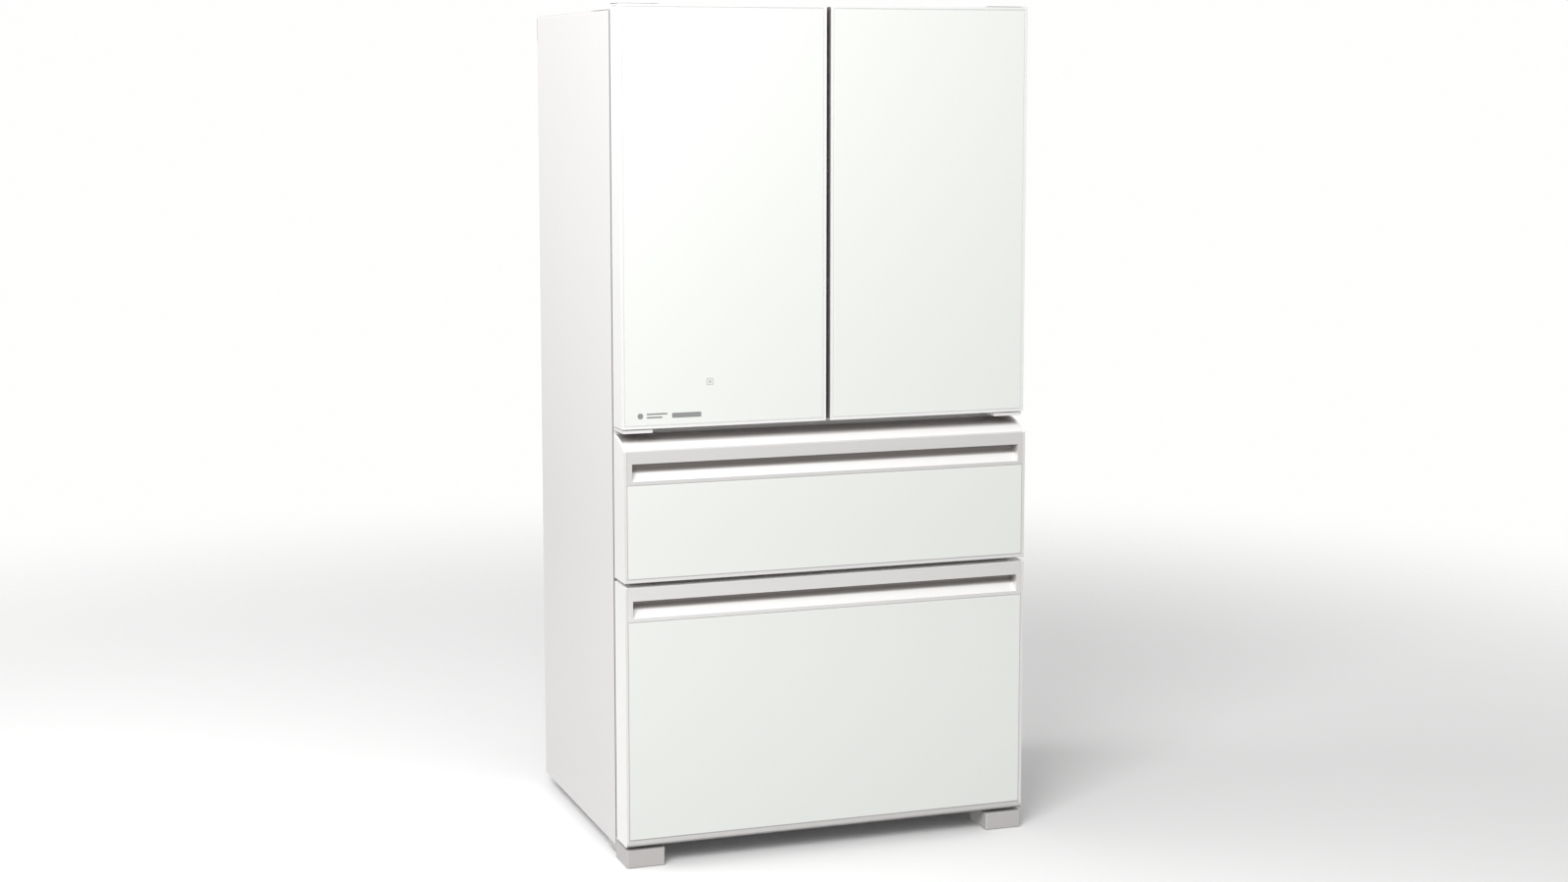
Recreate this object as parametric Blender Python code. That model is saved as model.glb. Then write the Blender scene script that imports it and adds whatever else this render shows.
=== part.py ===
"""French door refrigerator: two glass doors over two full-width glass drawers.

Metres, +Z up. The fronts face -Y, the left door is on -X, and the origin is on the floor
below the middle of the cabinet.
"""

import math

import bmesh
import bpy
from mathutils import Matrix, Vector

# Overall sizes
cabinet_width = 0.910
overall_depth = 0.696
lower_front_height = 0.558
middle_front_height = 0.278
door_height = 0.873

# Heights and gaps, from the floor up
lower_front_clearance = 0.044
drawer_gap = 0.009
middle_trim_rise = 0.026
lower_trim_rise = 0.0015
under_door_gap = 0.018
door_above_cabinet = 0.011

# Depths, from the front plane of the drawers backwards
front_thickness = 0.079
door_setback = 0.012
gasket_gap = 0.009

# Clearances
fit_gap = 0.0003
seat_gap = 0.0005
slide_gap = 0.004
pin_clearance = 0.0003

# Fronts
edge_width = 0.0057
glass_thickness = 0.004
lower_sill_height = 0.0155
middle_sill_height = 0.0074
lower_sill_radius = 0.008
middle_sill_radius = 0.002
door_split = 0.010
stop_notch_height = 0.0045
stop_notch_length = 0.044
stop_notch_depth = 0.003
stop_notch_drop = 0.004
stop_notch_back = 0.002

# Grip slots in the drawers' top trims
grip_lip_height = 0.0072
grip_height = 0.037
grip_depth = 0.0285
grip_end_inset = 0.0173
grip_scoop_sag = 0.003
grip_pocket_rise = 0.010
grip_band_thickness = 0.006
trim_wall = 0.004
trim_plate = 0.003
trim_nose_radius = 0.002
trim_top_bend = 1.5
trim_top_steps = 6
middle_band_height = 0.027
lower_band_height = 0.029

# Cabinet
sheet = 0.001
flange_width = 0.022
wrap_bottom = 0.0265
wrap_radius = 0.004
liner_wall = 0.0025
side_insulation = 0.047
top_insulation = 0.057
back_insulation = 0.066
back_panel_inset = 0.0035
back_bead_height = 0.003
back_bead_width = 0.030
back_bead_count = 4
crossbar_overlap = 0.0195
crossbar_depth = 0.025
crossbar_wall = 0.002
partition_overlap = 0.0235
lower_floor_rise = 0.038
base_plate_thickness = 0.003

# Machine room
machine_room_depth = 0.173
machine_room_height = 0.240
machine_room_wall = 0.040
machine_room_roof = 0.045
vent_rows = 2
vent_columns = 12
vent_width = 0.040
vent_height = 0.012
vent_pitch_x = 0.060
vent_pitch_z = 0.032
cover_thickness = 0.0025
gland_radius = 0.011
gland_bore = 0.0042
gland_flange = 0.003
compressor_radius = 0.076
compressor_height = 0.165
compressor_foot = 0.004
compressor_place = 0.42
compressor_foot_length = 1.3
compressor_foot_width = 0.7
compressor_dome = 0.75
compressor_can = ((0.0, 0.0), (0.62, 0.0), (0.93, 0.25), (1.0, 0.6))
gland_place = 0.80

# Door hinges
hinge_inset = 0.015
hinge_ahead_of_back = 0.045
pin_radius = 0.004
pin_depth = 0.018
top_arm_clearance = 0.0012
top_arm_thickness = 0.002
top_arm_half_width = 0.011
top_plate_length = 0.110
hinge_cover_wall = 0.0022
hinge_cover_length = 0.142
hinge_cover_width = 0.092
hinge_cover_slope = 0.008
centre_arm_thickness = 0.007
centre_arm_drop = 0.002
centre_arm_width = 0.064
centre_arm_reach = 0.018
centre_leaf_height = 0.030
centre_leaf_thickness = 0.003
centre_leaf_inset = 0.003

# Door inner panels
gasket_width = 0.018
gasket_inset = 0.025
gasket_end_inset = 0.003
split_gasket_inset = 0.007
dyke_depth = 0.037
dyke_wall = 0.022
dyke_pocket_extra = 0.015
dyke_hinge_inset = 0.055
dyke_split_inset = 0.032
dyke_end_inset = 0.033
bin_depth = 0.112
bin_height = 0.105
bin_wall = 0.003
bin_front_lean = 0.010
bin_lug = 0.008
upper_bin_rise = 0.520
lower_bin_rise = 0.200

# Mullion that closes the split between the doors
mullion_width = 0.056
mullion_thickness = 0.018
mullion_pivot_inset = 0.003
mullion_offset = 0.034
mullion_end_gap = 0.014
mullion_top_gap = 0.024
mullion_gasket_gap = 0.0008
mullion_edge_radius = 0.0025
spigot_radius = 0.003
spigot_share = 0.7
guide_height = 0.012
guide_length = 0.040
guide_width = 0.034
guide_slot = 0.008
guide_slot_share = 0.7

# Inside the refrigerator compartment
duct_width = 0.200
duct_depth = 0.020
duct_slots = 8
duct_slot_height = 0.008
duct_slot_inset = 0.030
light_width = 0.260
light_length = 0.090
light_depth = 0.008
shelf_front_setback = 0.130
shelf_thickness = 0.006
shelf_trim_height = 0.016
shelf_trim_depth = 0.012
shelf_rail_depth = 0.008
shelf_rail_height = 0.008
shelf_rises = (0.300, 0.540)
chiller_height = 0.135
chiller_setback = 0.200
chiller_wall = 0.003
chiller_grip_low = 0.62
chiller_grip_high = 0.78

# Drawers
rail_width = 0.014
rail_height = 0.026
rail_bar = 0.012
rail_side_gap = 0.010
rail_ledge = 0.0047
plateau_depth = 0.010
plateau_inset = 0.018
middle_rail_back_gap = 0.082
lower_rail_back_gap = 0.010
lower_rail_rise = 0.224
basket_wall = 0.003
basket_shoulder = 0.012
middle_basket_top_gap = 0.030
lower_basket_back_gap = 0.027
lower_basket_floor_gap = 0.013
lower_basket_rim = 0.070
tray_length = 0.230
tray_height = 0.100

# Evaporator and its fan, behind the baffle
baffle_thickness = 0.015
baffle_from_back = 0.087
baffle_low_gap = 0.015
fan_radius = 0.050
fan_clearance = 0.005
fan_drop = 0.088
fan_hub_radius = 0.017
fan_blades = 5
fan_depth = 0.018
fan_blade_pitch = math.radians(32)
fan_blade_thickness = 0.002
fan_blade_root = 0.8
fan_blade_width = 0.7
evaporator_width = 0.560
evaporator_depth = 0.056
evaporator_height = 0.210
evaporator_fins = 22
fin_thickness = 0.004
fin_spine = 0.010

# Feet and rollers
foot_cover_width = 0.084
foot_cover_depth = 0.086
foot_cover_height = 0.0375
foot_cover_wall = 0.0025
foot_cover_lift = 0.001
foot_cover_radius = 0.004
foot_inset_x = 0.042
foot_inset_y = 0.045
foot_radius = 0.019
foot_disc = 0.009
foot_stem_radius = 0.006
foot_stem_above = 0.0025
foot_arm_width = 0.056
foot_block_length = 0.076
foot_block_width = 0.063
foot_block_inset = 0.004
foot_block_bottom = 0.0115
roller_radius = 0.019
roller_width = 0.022
roller_axle_radius = 0.004
roller_inset_x = 0.055
roller_inset_y = 0.060
roller_ear = 0.002
roller_window_gap = 0.003
roller_ear_reach = 0.010
roller_ear_drop = 0.0168
foot_arm_overlap = 0.020
foot_disc_profile = ((0.94, 0.0), (1.0, 0.2), (1.0, 0.8), (0.9, 1.0))

# Positions worked out from the sizes above
half_width = cabinet_width / 2
drawer_front_y = -overall_depth / 2
door_front_y = drawer_front_y + door_setback
fronts_back_y = drawer_front_y + front_thickness
cabinet_front_y = fronts_back_y + gasket_gap
cabinet_back_y = overall_depth / 2

lower_bottom = lower_front_clearance
lower_top = lower_bottom + lower_front_height
middle_bottom = lower_top + drawer_gap
middle_top = middle_bottom + middle_front_height
middle_rear_top = middle_top + middle_trim_rise
door_bottom = middle_rear_top + under_door_gap
door_top = door_bottom + door_height
cabinet_top = door_top - door_above_cabinet

inner_half_width = half_width - side_insulation
flange_inner = half_width - flange_width
crossbar_low = middle_rear_top - crossbar_overlap
crossbar_high = door_bottom + crossbar_overlap
fridge_floor = crossbar_high + seat_gap + liner_wall
fridge_ceiling = cabinet_top - top_insulation
drawer_ceiling = crossbar_low - seat_gap - liner_wall
partition_low = lower_top - partition_overlap
partition_high = middle_bottom + partition_overlap
drawer_floor = lower_bottom + lower_floor_rise
inner_back_y = cabinet_back_y - back_insulation
panel_back_y = cabinet_back_y - back_panel_inset
panel_front_y = panel_back_y - sheet
machine_front_y = cabinet_back_y - machine_room_depth
step_y = machine_front_y - machine_room_wall
step_z = machine_room_height + machine_room_roof
foam_bottom = wrap_bottom + base_plate_thickness + 2 * fit_gap
baffle_y = inner_back_y - baffle_from_back
middle_rail_back = inner_back_y - middle_rail_back_gap
lower_rail_back = baffle_y - lower_rail_back_gap

hinge_x = half_width - hinge_inset
hinge_y = fronts_back_y - hinge_ahead_of_back
shelf_front_y = cabinet_front_y + shelf_front_setback

# Finishes: colour, roughness, metallic
finishes = {
    "white_steel": ((0.86, 0.85, 0.85), 0.42, 0.0),
    "white_glass": ((0.90, 0.92, 0.89), 0.06, 0.0),
    "white_plastic": ((0.90, 0.90, 0.90), 0.35, 0.0),
    "liner_plastic": ((0.92, 0.92, 0.92), 0.30, 0.0),
    "aluminium": ((0.80, 0.79, 0.78), 0.25, 1.0),
    "steel": ((0.55, 0.55, 0.56), 0.35, 1.0),
    "grey_plastic": ((0.72, 0.70, 0.69), 0.50, 0.0),
    "black_steel": ((0.03, 0.03, 0.03), 0.40, 0.0),
    "dark_plastic": ((0.05, 0.05, 0.055), 0.50, 0.0),
    "gasket_rubber": ((0.45, 0.45, 0.46), 0.75, 0.0),
    "clear_plastic": ((0.86, 0.90, 0.92), 0.12, 0.0),
    "clear_glass": ((0.80, 0.90, 0.88), 0.05, 0.0),
    "foam": ((0.85, 0.78, 0.60), 0.90, 0.0),
}


# Shapes: each is a closed bmesh in the object's own frame

def finished(shape):
    bmesh.ops.recalc_face_normals(shape, faces=shape.faces)
    return shape


def box(corner, opposite):
    low = [min(a, b) for a, b in zip(corner, opposite)]
    high = [max(a, b) for a, b in zip(corner, opposite)]
    shape = bmesh.new()
    bmesh.ops.create_cube(shape, size=1)
    for vert in shape.verts:
        vert.co = [low[i] + (vert.co[i] + 0.5) * (high[i] - low[i]) for i in range(3)]
    return finished(shape)


def prism(outline, axis, start, end):
    """An outline in the other two axes, extruded along axis from start to end."""
    index = "XYZ".index(axis)
    shape = bmesh.new()
    verts = []
    for u, v in outline:
        point = [u, v]
        point.insert(index, start)
        verts.append(shape.verts.new(point))
    face = shape.faces.new(verts)
    extruded = bmesh.ops.extrude_face_region(shape, geom=[face])["geom"]
    moved = [item for item in extruded if isinstance(item, bmesh.types.BMVert)]
    step = [0.0, 0.0, 0.0]
    step[index] = end - start
    bmesh.ops.translate(shape, verts=moved, vec=step)
    return finished(shape)


def rod(centre, axis, radius, start, end, segments=20):
    """A round bar along axis; centre gives the other two coordinates."""
    turn = 2 * math.pi / segments
    outline = []
    for step in range(segments):
        angle = (step + 0.5) * turn
        outline.append((centre[0] + radius * math.cos(angle), centre[1] + radius * math.sin(angle)))
    return prism(outline, axis, start, end)


def turned(profile, centre, segments=24):
    """A closed profile of (radius, z) points on the vertical axis, spun about centre."""
    shape = bmesh.new()
    verts = [shape.verts.new((centre[0] + radius, centre[1], z)) for radius, z in profile]
    edges = [shape.edges.new(pair) for pair in zip(verts, verts[1:])]
    bmesh.ops.spin(shape, geom=verts + edges, cent=(centre[0], centre[1], 0), axis=(0, 0, 1),
                   angle=2 * math.pi, steps=segments, use_merge=True)
    bmesh.ops.remove_doubles(shape, verts=shape.verts, dist=0.00002)
    return finished(shape)


def arc(centre, radius, start_deg, end_deg, steps):
    points = []
    for step in range(steps + 1):
        angle = math.radians(start_deg + (end_deg - start_deg) * step / steps)
        points.append((centre[0] + radius * math.cos(angle), centre[1] + radius * math.sin(angle)))
    return points


def sagging_line(start, end, sag, steps):
    """A shallow arc from start to end that hangs sag below the straight line."""
    across = (end[0] - start[0], end[1] - start[1])
    length = math.hypot(*across)
    points = []
    for step in range(steps + 1):
        part = step / steps
        drop = 4 * sag * part * (1 - part) / length
        points.append((start[0] + across[0] * part + across[1] * drop,
                       start[1] + across[1] * part - across[0] * drop))
    return points


def ring(corner, opposite, axis, wall):
    """A rectangular ring: a box with a window through it along axis."""
    index = "XYZ".index(axis)
    inner_low = [min(a, b) + wall for a, b in zip(corner, opposite)]
    inner_high = [max(a, b) - wall for a, b in zip(corner, opposite)]
    inner_low[index] = min(corner[index], opposite[index]) - wall
    inner_high[index] = max(corner[index], opposite[index]) + wall
    return combined(box(corner, opposite), cuts=[box(inner_low, inner_high)])


def scratch_object(shape, label):
    mesh = bpy.data.meshes.new(label)
    shape.to_mesh(mesh)
    shape.free()
    scratch = bpy.data.objects.new(label, mesh)
    bpy.context.scene.collection.objects.link(scratch)
    return scratch


def combined(base, adds=(), cuts=()):
    """The base shape with the adds joined on and then the cuts taken out."""
    target = scratch_object(base, "base")
    helpers = []
    for operation, shapes in (("UNION", adds), ("DIFFERENCE", cuts)):
        for shape in shapes:
            helper = scratch_object(shape, operation.lower())
            helpers.append(helper)
            modifier = target.modifiers.new(helper.name, "BOOLEAN")
            modifier.operation = operation
            modifier.solver = "EXACT"
            modifier.object = helper
    depsgraph = bpy.context.evaluated_depsgraph_get()
    result = bmesh.new()
    result.from_mesh(target.evaluated_get(depsgraph).to_mesh())
    bmesh.ops.dissolve_limit(result, angle_limit=math.radians(0.5), verts=result.verts, edges=result.edges)
    bmesh.ops.remove_doubles(result, verts=result.verts, dist=0.00002)
    bmesh.ops.triangulate(result, faces=[face for face in result.faces if len(face.verts) > 4])
    for item in [target] + helpers:
        mesh = item.data
        bpy.data.objects.remove(item)
        bpy.data.meshes.remove(mesh)
    return result


# Placing pieces

def world_point(item):
    point = Vector((0, 0, 0))
    while item:
        point += item.location
        item = item.parent
    return point


def add_pivot(name, point, parent=None):
    pivot = bpy.data.objects.new(name, None)
    pivot.empty_display_size = 0.05
    pivot.parent = parent
    pivot.location = Vector(point) - world_point(parent)
    bpy.context.scene.collection.objects.link(pivot)
    return pivot


def make_material(name, finish):
    colour, roughness, metallic = finishes[finish]
    material = bpy.data.materials.new(name + "_" + finish)
    material.use_nodes = True
    shader = material.node_tree.nodes["Principled BSDF"]
    shader.inputs["Base Color"].default_value = (*colour, 1)
    shader.inputs["Roughness"].default_value = roughness
    shader.inputs["Metallic"].default_value = metallic
    material.diffuse_color = (*colour, 1)
    return material


def add_piece(name, shape, finish, pivot=None, smooth=False):
    """Makes the object. Its origin is on its pivot, or below its middle if it doesn't move."""
    if pivot:
        origin = world_point(pivot)
    else:
        low = [min(vert.co[i] for vert in shape.verts) for i in range(3)]
        high = [max(vert.co[i] for vert in shape.verts) for i in range(3)]
        origin = Vector(((low[0] + high[0]) / 2, (low[1] + high[1]) / 2, low[2]))
    bmesh.ops.translate(shape, verts=shape.verts, vec=-origin)
    mesh = bpy.data.meshes.new(name)
    shape.to_mesh(mesh)
    shape.free()
    if smooth:
        mesh.shade_smooth()
        mesh.set_sharp_from_angle(angle=math.radians(35))
    mesh.materials.append(make_material(name, finish))
    piece = bpy.data.objects.new(name, mesh)
    piece.parent = pivot
    piece.location = origin - world_point(pivot)
    bpy.context.scene.collection.objects.link(piece)
    return piece


def side_name(side):
    return "left" if side < 0 else "right"


# Cabinet

def build_wrap():
    low = (-half_width, cabinet_front_y, wrap_bottom)
    high = (half_width, cabinet_back_y, cabinet_top)
    shell_outline = (
        [(-half_width, wrap_bottom)]
        + arc((-half_width + wrap_radius, cabinet_top - wrap_radius), wrap_radius, 180, 90, 3)
        + arc((half_width - wrap_radius, cabinet_top - wrap_radius), wrap_radius, 90, 0, 3)
        + [(half_width, wrap_bottom)]
    )
    shell = prism(shell_outline, "Y", low[1], high[1])
    inner = box((low[0] + sheet, low[1] + sheet, low[2] - sheet),
                (high[0] - sheet, high[1] + sheet, high[2] - sheet))
    window = box((-flange_inner, low[1] - sheet, low[2] - sheet),
                 (flange_inner, low[1] + 2 * sheet, high[2] - flange_width))
    # the flange stops above the base, where the arms for the feet come forward
    foot_room = box((low[0] + sheet, low[1] - sheet, low[2] - sheet),
                    (high[0] - sheet, low[1] + 2 * sheet, lower_bottom))
    add_piece("cabinet_wrap", combined(shell, cuts=[inner, window, foot_room]), "white_steel")


def build_back_panel():
    low_z = machine_room_height + fit_gap
    high_z = cabinet_top - sheet - fit_gap
    half = half_width - sheet - fit_gap
    panel = box((-half, panel_front_y, low_z), (half, panel_back_y, high_z))
    beads = []
    pitch = (high_z - low_z) / back_bead_count
    for row in range(back_bead_count):
        centre = low_z + (row + 0.5) * pitch
        foot = back_bead_width / 2
        crest = foot - back_bead_height
        outline = [
            (panel_back_y - sheet / 2, centre - foot), (panel_back_y, centre - foot),
            (panel_back_y + back_bead_height, centre - crest),
            (panel_back_y + back_bead_height, centre + crest),
            (panel_back_y, centre + foot), (panel_back_y - sheet / 2, centre + foot),
        ]
        beads.append(prism(outline, "X", -half + 2 * back_bead_width, half - 2 * back_bead_width))
    add_piece("back_panel", combined(panel, adds=beads), "steel")


def build_foam():
    half = half_width - sheet - fit_gap
    front = cabinet_front_y + liner_wall + fit_gap
    block = box((-half, front, foam_bottom), (half, panel_front_y - fit_gap, cabinet_top - sheet - fit_gap))
    outer_half = inner_half_width + liner_wall + fit_gap
    outer_back = inner_back_y + liner_wall + fit_gap
    fridge_room = box((-outer_half, front - sheet, fridge_floor - liner_wall - fit_gap),
                      (outer_half, outer_back, fridge_ceiling + liner_wall + fit_gap))
    drawer_room = prism(drawer_room_outline(liner_wall + fit_gap, front - sheet),
                        "X", -outer_half, outer_half)
    machine_room = box((-half - sheet, machine_front_y, foam_bottom - sheet),
                       (half + sheet, cabinet_back_y, machine_room_height + seat_gap))
    crossbar_room = box((-flange_inner, front - sheet, crossbar_low - fit_gap),
                        (flange_inner, cabinet_front_y + crossbar_depth + fit_gap, crossbar_high + fit_gap))
    foam = combined(block, cuts=[fridge_room, drawer_room, machine_room, crossbar_room])
    add_piece("cabinet_foam", foam, "foam")


def drawer_room_outline(grow, front):
    """Side view of the room for both drawers, stepped over the machine room."""
    return [
        (front, drawer_floor - grow), (step_y + grow, drawer_floor - grow),
        (step_y + grow, step_z - grow), (inner_back_y + grow, step_z - grow),
        (inner_back_y + grow, drawer_ceiling + grow), (front, drawer_ceiling + grow),
    ]


def build_fridge_liner():
    outer_half = inner_half_width + liner_wall
    shell = box((-outer_half, cabinet_front_y, fridge_floor - liner_wall),
                (outer_half, inner_back_y + liner_wall, fridge_ceiling + liner_wall))
    flange_half = flange_inner - seat_gap
    flange = box((-flange_half, cabinet_front_y, fridge_floor - liner_wall),
                 (flange_half, cabinet_front_y + liner_wall, cabinet_top - flange_width - seat_gap))
    room = box((-inner_half_width, cabinet_front_y - sheet, fridge_floor),
               (inner_half_width, inner_back_y, fridge_ceiling))
    hollow = combined(shell, adds=[flange], cuts=[room])
    rails = []
    for top in [fridge_floor + rise for rise in shelf_rises] + [chiller_cover_bottom()]:
        for side in (-1, 1):
            outer = side * (inner_half_width + sheet)
            inner = side * (inner_half_width - shelf_rail_depth)
            rails.append(box((outer, shelf_front_y, top - shelf_rail_height),
                             (inner, inner_back_y - duct_depth, top)))
    add_piece("fridge_liner", combined(hollow, adds=rails), "liner_plastic")


def build_drawer_liner():
    outer_half = inner_half_width + liner_wall
    shell = prism(drawer_room_outline(liner_wall, cabinet_front_y), "X", -outer_half, outer_half)
    flange = box((-flange_inner + seat_gap, cabinet_front_y, lower_bottom),
                 (flange_inner - seat_gap, cabinet_front_y + liner_wall, drawer_ceiling + liner_wall))
    room = prism(drawer_room_outline(0, cabinet_front_y - sheet), "X", -inner_half_width, inner_half_width)
    hollow = combined(shell, adds=[flange], cuts=[room])
    ledges = []
    for top, back in ((middle_rail_low(), middle_rail_back), (lower_rail_low(), lower_rail_back)):
        for side in (-1, 1):
            inner = inner_half_width - rail_side_gap - rail_width / 2
            ledges.append(box((side * (inner_half_width + sheet), cabinet_front_y + liner_wall,
                               top - fit_gap - rail_ledge),
                              (side * inner, back, top - fit_gap)))
    add_piece("drawer_liner", combined(hollow, adds=ledges), "liner_plastic")


def middle_rail_low():
    return partition_high + rail_ledge + 2 * fit_gap


def lower_rail_low():
    return drawer_floor + lower_rail_rise


def build_crossbar():
    half = flange_inner - seat_gap
    back = cabinet_front_y + crossbar_depth
    bar = box((-half, cabinet_front_y, crossbar_low), (half, back, crossbar_high))
    channel = box((-half - sheet, cabinet_front_y + crossbar_wall, crossbar_low + crossbar_wall),
                  (half + sheet, back + sheet, crossbar_high - crossbar_wall))
    add_piece("upper_crossbar", combined(bar, cuts=[channel]), "white_steel")


def build_partition():
    """The insulated deck between the drawers, with the baffle that hides the evaporator."""
    half = inner_half_width - fit_gap
    outline = [
        (cabinet_front_y, partition_low), (baffle_y, partition_low), (baffle_y, step_z + baffle_low_gap),
        (baffle_y + baffle_thickness, step_z + baffle_low_gap),
        (baffle_y + baffle_thickness, partition_low),
        (inner_back_y - fit_gap, partition_low), (inner_back_y - fit_gap, partition_high),
        (cabinet_front_y, partition_high),
    ]
    deck = prism(outline, "X", -half, half)
    fan_hole = rod((0, fan_centre_z()), "Y", fan_radius + fan_clearance, baffle_y - sheet,
                   baffle_y + baffle_thickness + sheet, 24)
    # the rail ledges of the liner pass through notches beside the baffle
    notches = []
    for side in (-1, 1):
        notches.append(box((side * (half + sheet), baffle_y - sheet, step_z),
                           (side * (half - rail_width - rail_side_gap), baffle_y + baffle_thickness + sheet,
                            lower_rail_low() + rail_height + slide_gap)))
    add_piece("drawer_partition", combined(deck, cuts=[fan_hole] + notches), "liner_plastic")


def fan_centre_z():
    return partition_low - fan_drop


def build_base_plate():
    half = half_width - sheet - fit_gap
    low_z = wrap_bottom + fit_gap
    high_z = low_z + base_plate_thickness
    plate = box((-half, cabinet_front_y + sheet + fit_gap, low_z), (half, panel_front_y - fit_gap, high_z))
    adds = []
    cuts = []
    for side in (-1, 1):
        foot_x = side * (half_width - foot_inset_x)
        adds.append(box((foot_x - foot_arm_width / 2, drawer_front_y + 2 * foot_cover_wall, low_z),
                        (foot_x + foot_arm_width / 2, cabinet_front_y + foot_arm_overlap, high_z)))
        block_x = side * (half_width - foot_block_inset)
        block_inner = block_x - side * foot_block_width
        adds.append(box((block_x, cabinet_front_y + 2 * sheet, foot_block_bottom),
                        (block_inner, cabinet_front_y + foot_block_length, low_z + sheet)))
        cuts.append(rod((foot_x, drawer_front_y + foot_inset_y), "Z", foot_stem_radius + pin_clearance,
                        low_z - sheet, high_z + sheet))
        roller_x = side * (half_width - roller_inset_x)
        roller_y = cabinet_back_y - roller_inset_y
        for edge in (-1, 1):
            ear_x = roller_x + edge * (roller_width / 2 + roller_window_gap)
            adds.append(box((ear_x, roller_y - roller_ear_reach, low_z - roller_ear_drop),
                            (ear_x + edge * roller_ear, roller_y + roller_ear_reach,
                             roller_radius + roller_ear_reach)))
        reach_x = roller_width / 2 + roller_window_gap
        reach_y = roller_radius + roller_window_gap
        cuts.append(box((roller_x - reach_x, roller_y - reach_y, low_z - sheet),
                        (roller_x + reach_x, roller_y + reach_y, high_z + sheet)))
        cuts.append(rod((roller_y, roller_radius), "X", roller_axle_radius + pin_clearance,
                        roller_x - roller_width, roller_x + roller_width))
    add_piece("base_plate", combined(plate, adds=adds, cuts=cuts), "steel")


# Hinges

def build_top_hinge(side):
    arm_low = door_top + top_arm_clearance
    arm_high = arm_low + top_arm_thickness
    seat = cabinet_top + fit_gap
    front = hinge_y - top_arm_half_width
    riser = cabinet_front_y + top_arm_thickness
    outline = [
        (front, arm_low), (riser - top_arm_thickness, arm_low), (riser - top_arm_thickness, seat),
        (cabinet_front_y + top_plate_length, seat),
        (cabinet_front_y + top_plate_length, seat + top_arm_thickness),
        (riser, seat + top_arm_thickness), (riser, arm_high), (front, arm_high),
    ]
    plate = prism(outline, "X", side * hinge_x - top_arm_half_width, side * hinge_x + top_arm_half_width)
    foot = box((side * (hinge_x - top_arm_half_width / 2), cabinet_front_y + 3 * top_arm_thickness, seat),
               (side * (half_width - hinge_cover_width + 3 * hinge_cover_wall),
                cabinet_front_y + top_plate_length, seat + top_arm_thickness))
    pin = rod((side * hinge_x, hinge_y), "Z", pin_radius, door_top - pin_depth, arm_high - sheet / 2)
    add_piece("top_hinge_" + side_name(side), combined(plate, adds=[foot, pin]), "steel")


def build_hinge_cover(side):
    """A low cap over the hinge; its nose reaches over the door's top corner."""
    top = door_top + top_arm_clearance + top_arm_thickness + seat_gap + hinge_cover_wall
    seat = cabinet_top + fit_gap
    nose_low = door_top + top_arm_clearance
    front = hinge_y - top_arm_half_width - seat_gap - hinge_cover_wall
    back = cabinet_front_y + hinge_cover_length
    brow = cabinet_front_y - hinge_cover_wall - seat_gap

    def outline(inset, sink):
        low = seat - sink
        return [
            (front + inset, nose_low - sink), (brow + inset, nose_low - sink), (brow + inset, low),
            (back - inset, low), (back - inset, top - inset - hinge_cover_slope / 2),
            (back - inset - hinge_cover_slope, top - inset), (front + inset, top - inset),
        ]

    outer_x = side * (half_width - sheet)
    inner_x = side * (half_width - hinge_cover_width)
    shell = prism(outline(0, 0), "X", outer_x, inner_x)
    hollow = prism(outline(hinge_cover_wall, sheet), "X", outer_x - side * hinge_cover_wall,
                   inner_x + side * hinge_cover_wall)
    add_piece("hinge_cover_" + side_name(side), combined(shell, cuts=[hollow]), "white_plastic")


def build_centre_hinge(side):
    arm_high = door_bottom - centre_arm_drop
    arm_low = arm_high - centre_arm_thickness
    outer_x = side * (half_width - centre_leaf_inset)
    leaf_inner = side * (flange_inner - seat_gap)
    leaf_back = cabinet_front_y - fit_gap
    arm = box((outer_x, hinge_y - centre_arm_reach, arm_low),
              (outer_x - side * centre_arm_width, leaf_back, arm_high))
    leaf_middle = (door_bottom + middle_rear_top) / 2
    leaf = box((outer_x, leaf_back - centre_leaf_thickness, leaf_middle - centre_leaf_height / 2),
               (leaf_inner, leaf_back, leaf_middle + centre_leaf_height / 2))
    pin = rod((side * hinge_x, hinge_y), "Z", pin_radius, arm_low + sheet, door_bottom + pin_depth)
    add_piece("centre_hinge_" + side_name(side), combined(arm, adds=[leaf, pin]), "white_steel")


# Doors

def door_limits(side):
    """Outer side and split side of a door, as x values."""
    return side * half_width, side * door_split / 2


def pin_hole(side, low, high):
    return rod((side * hinge_x, hinge_y), "Z", pin_radius + pin_clearance, low, high)


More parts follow.
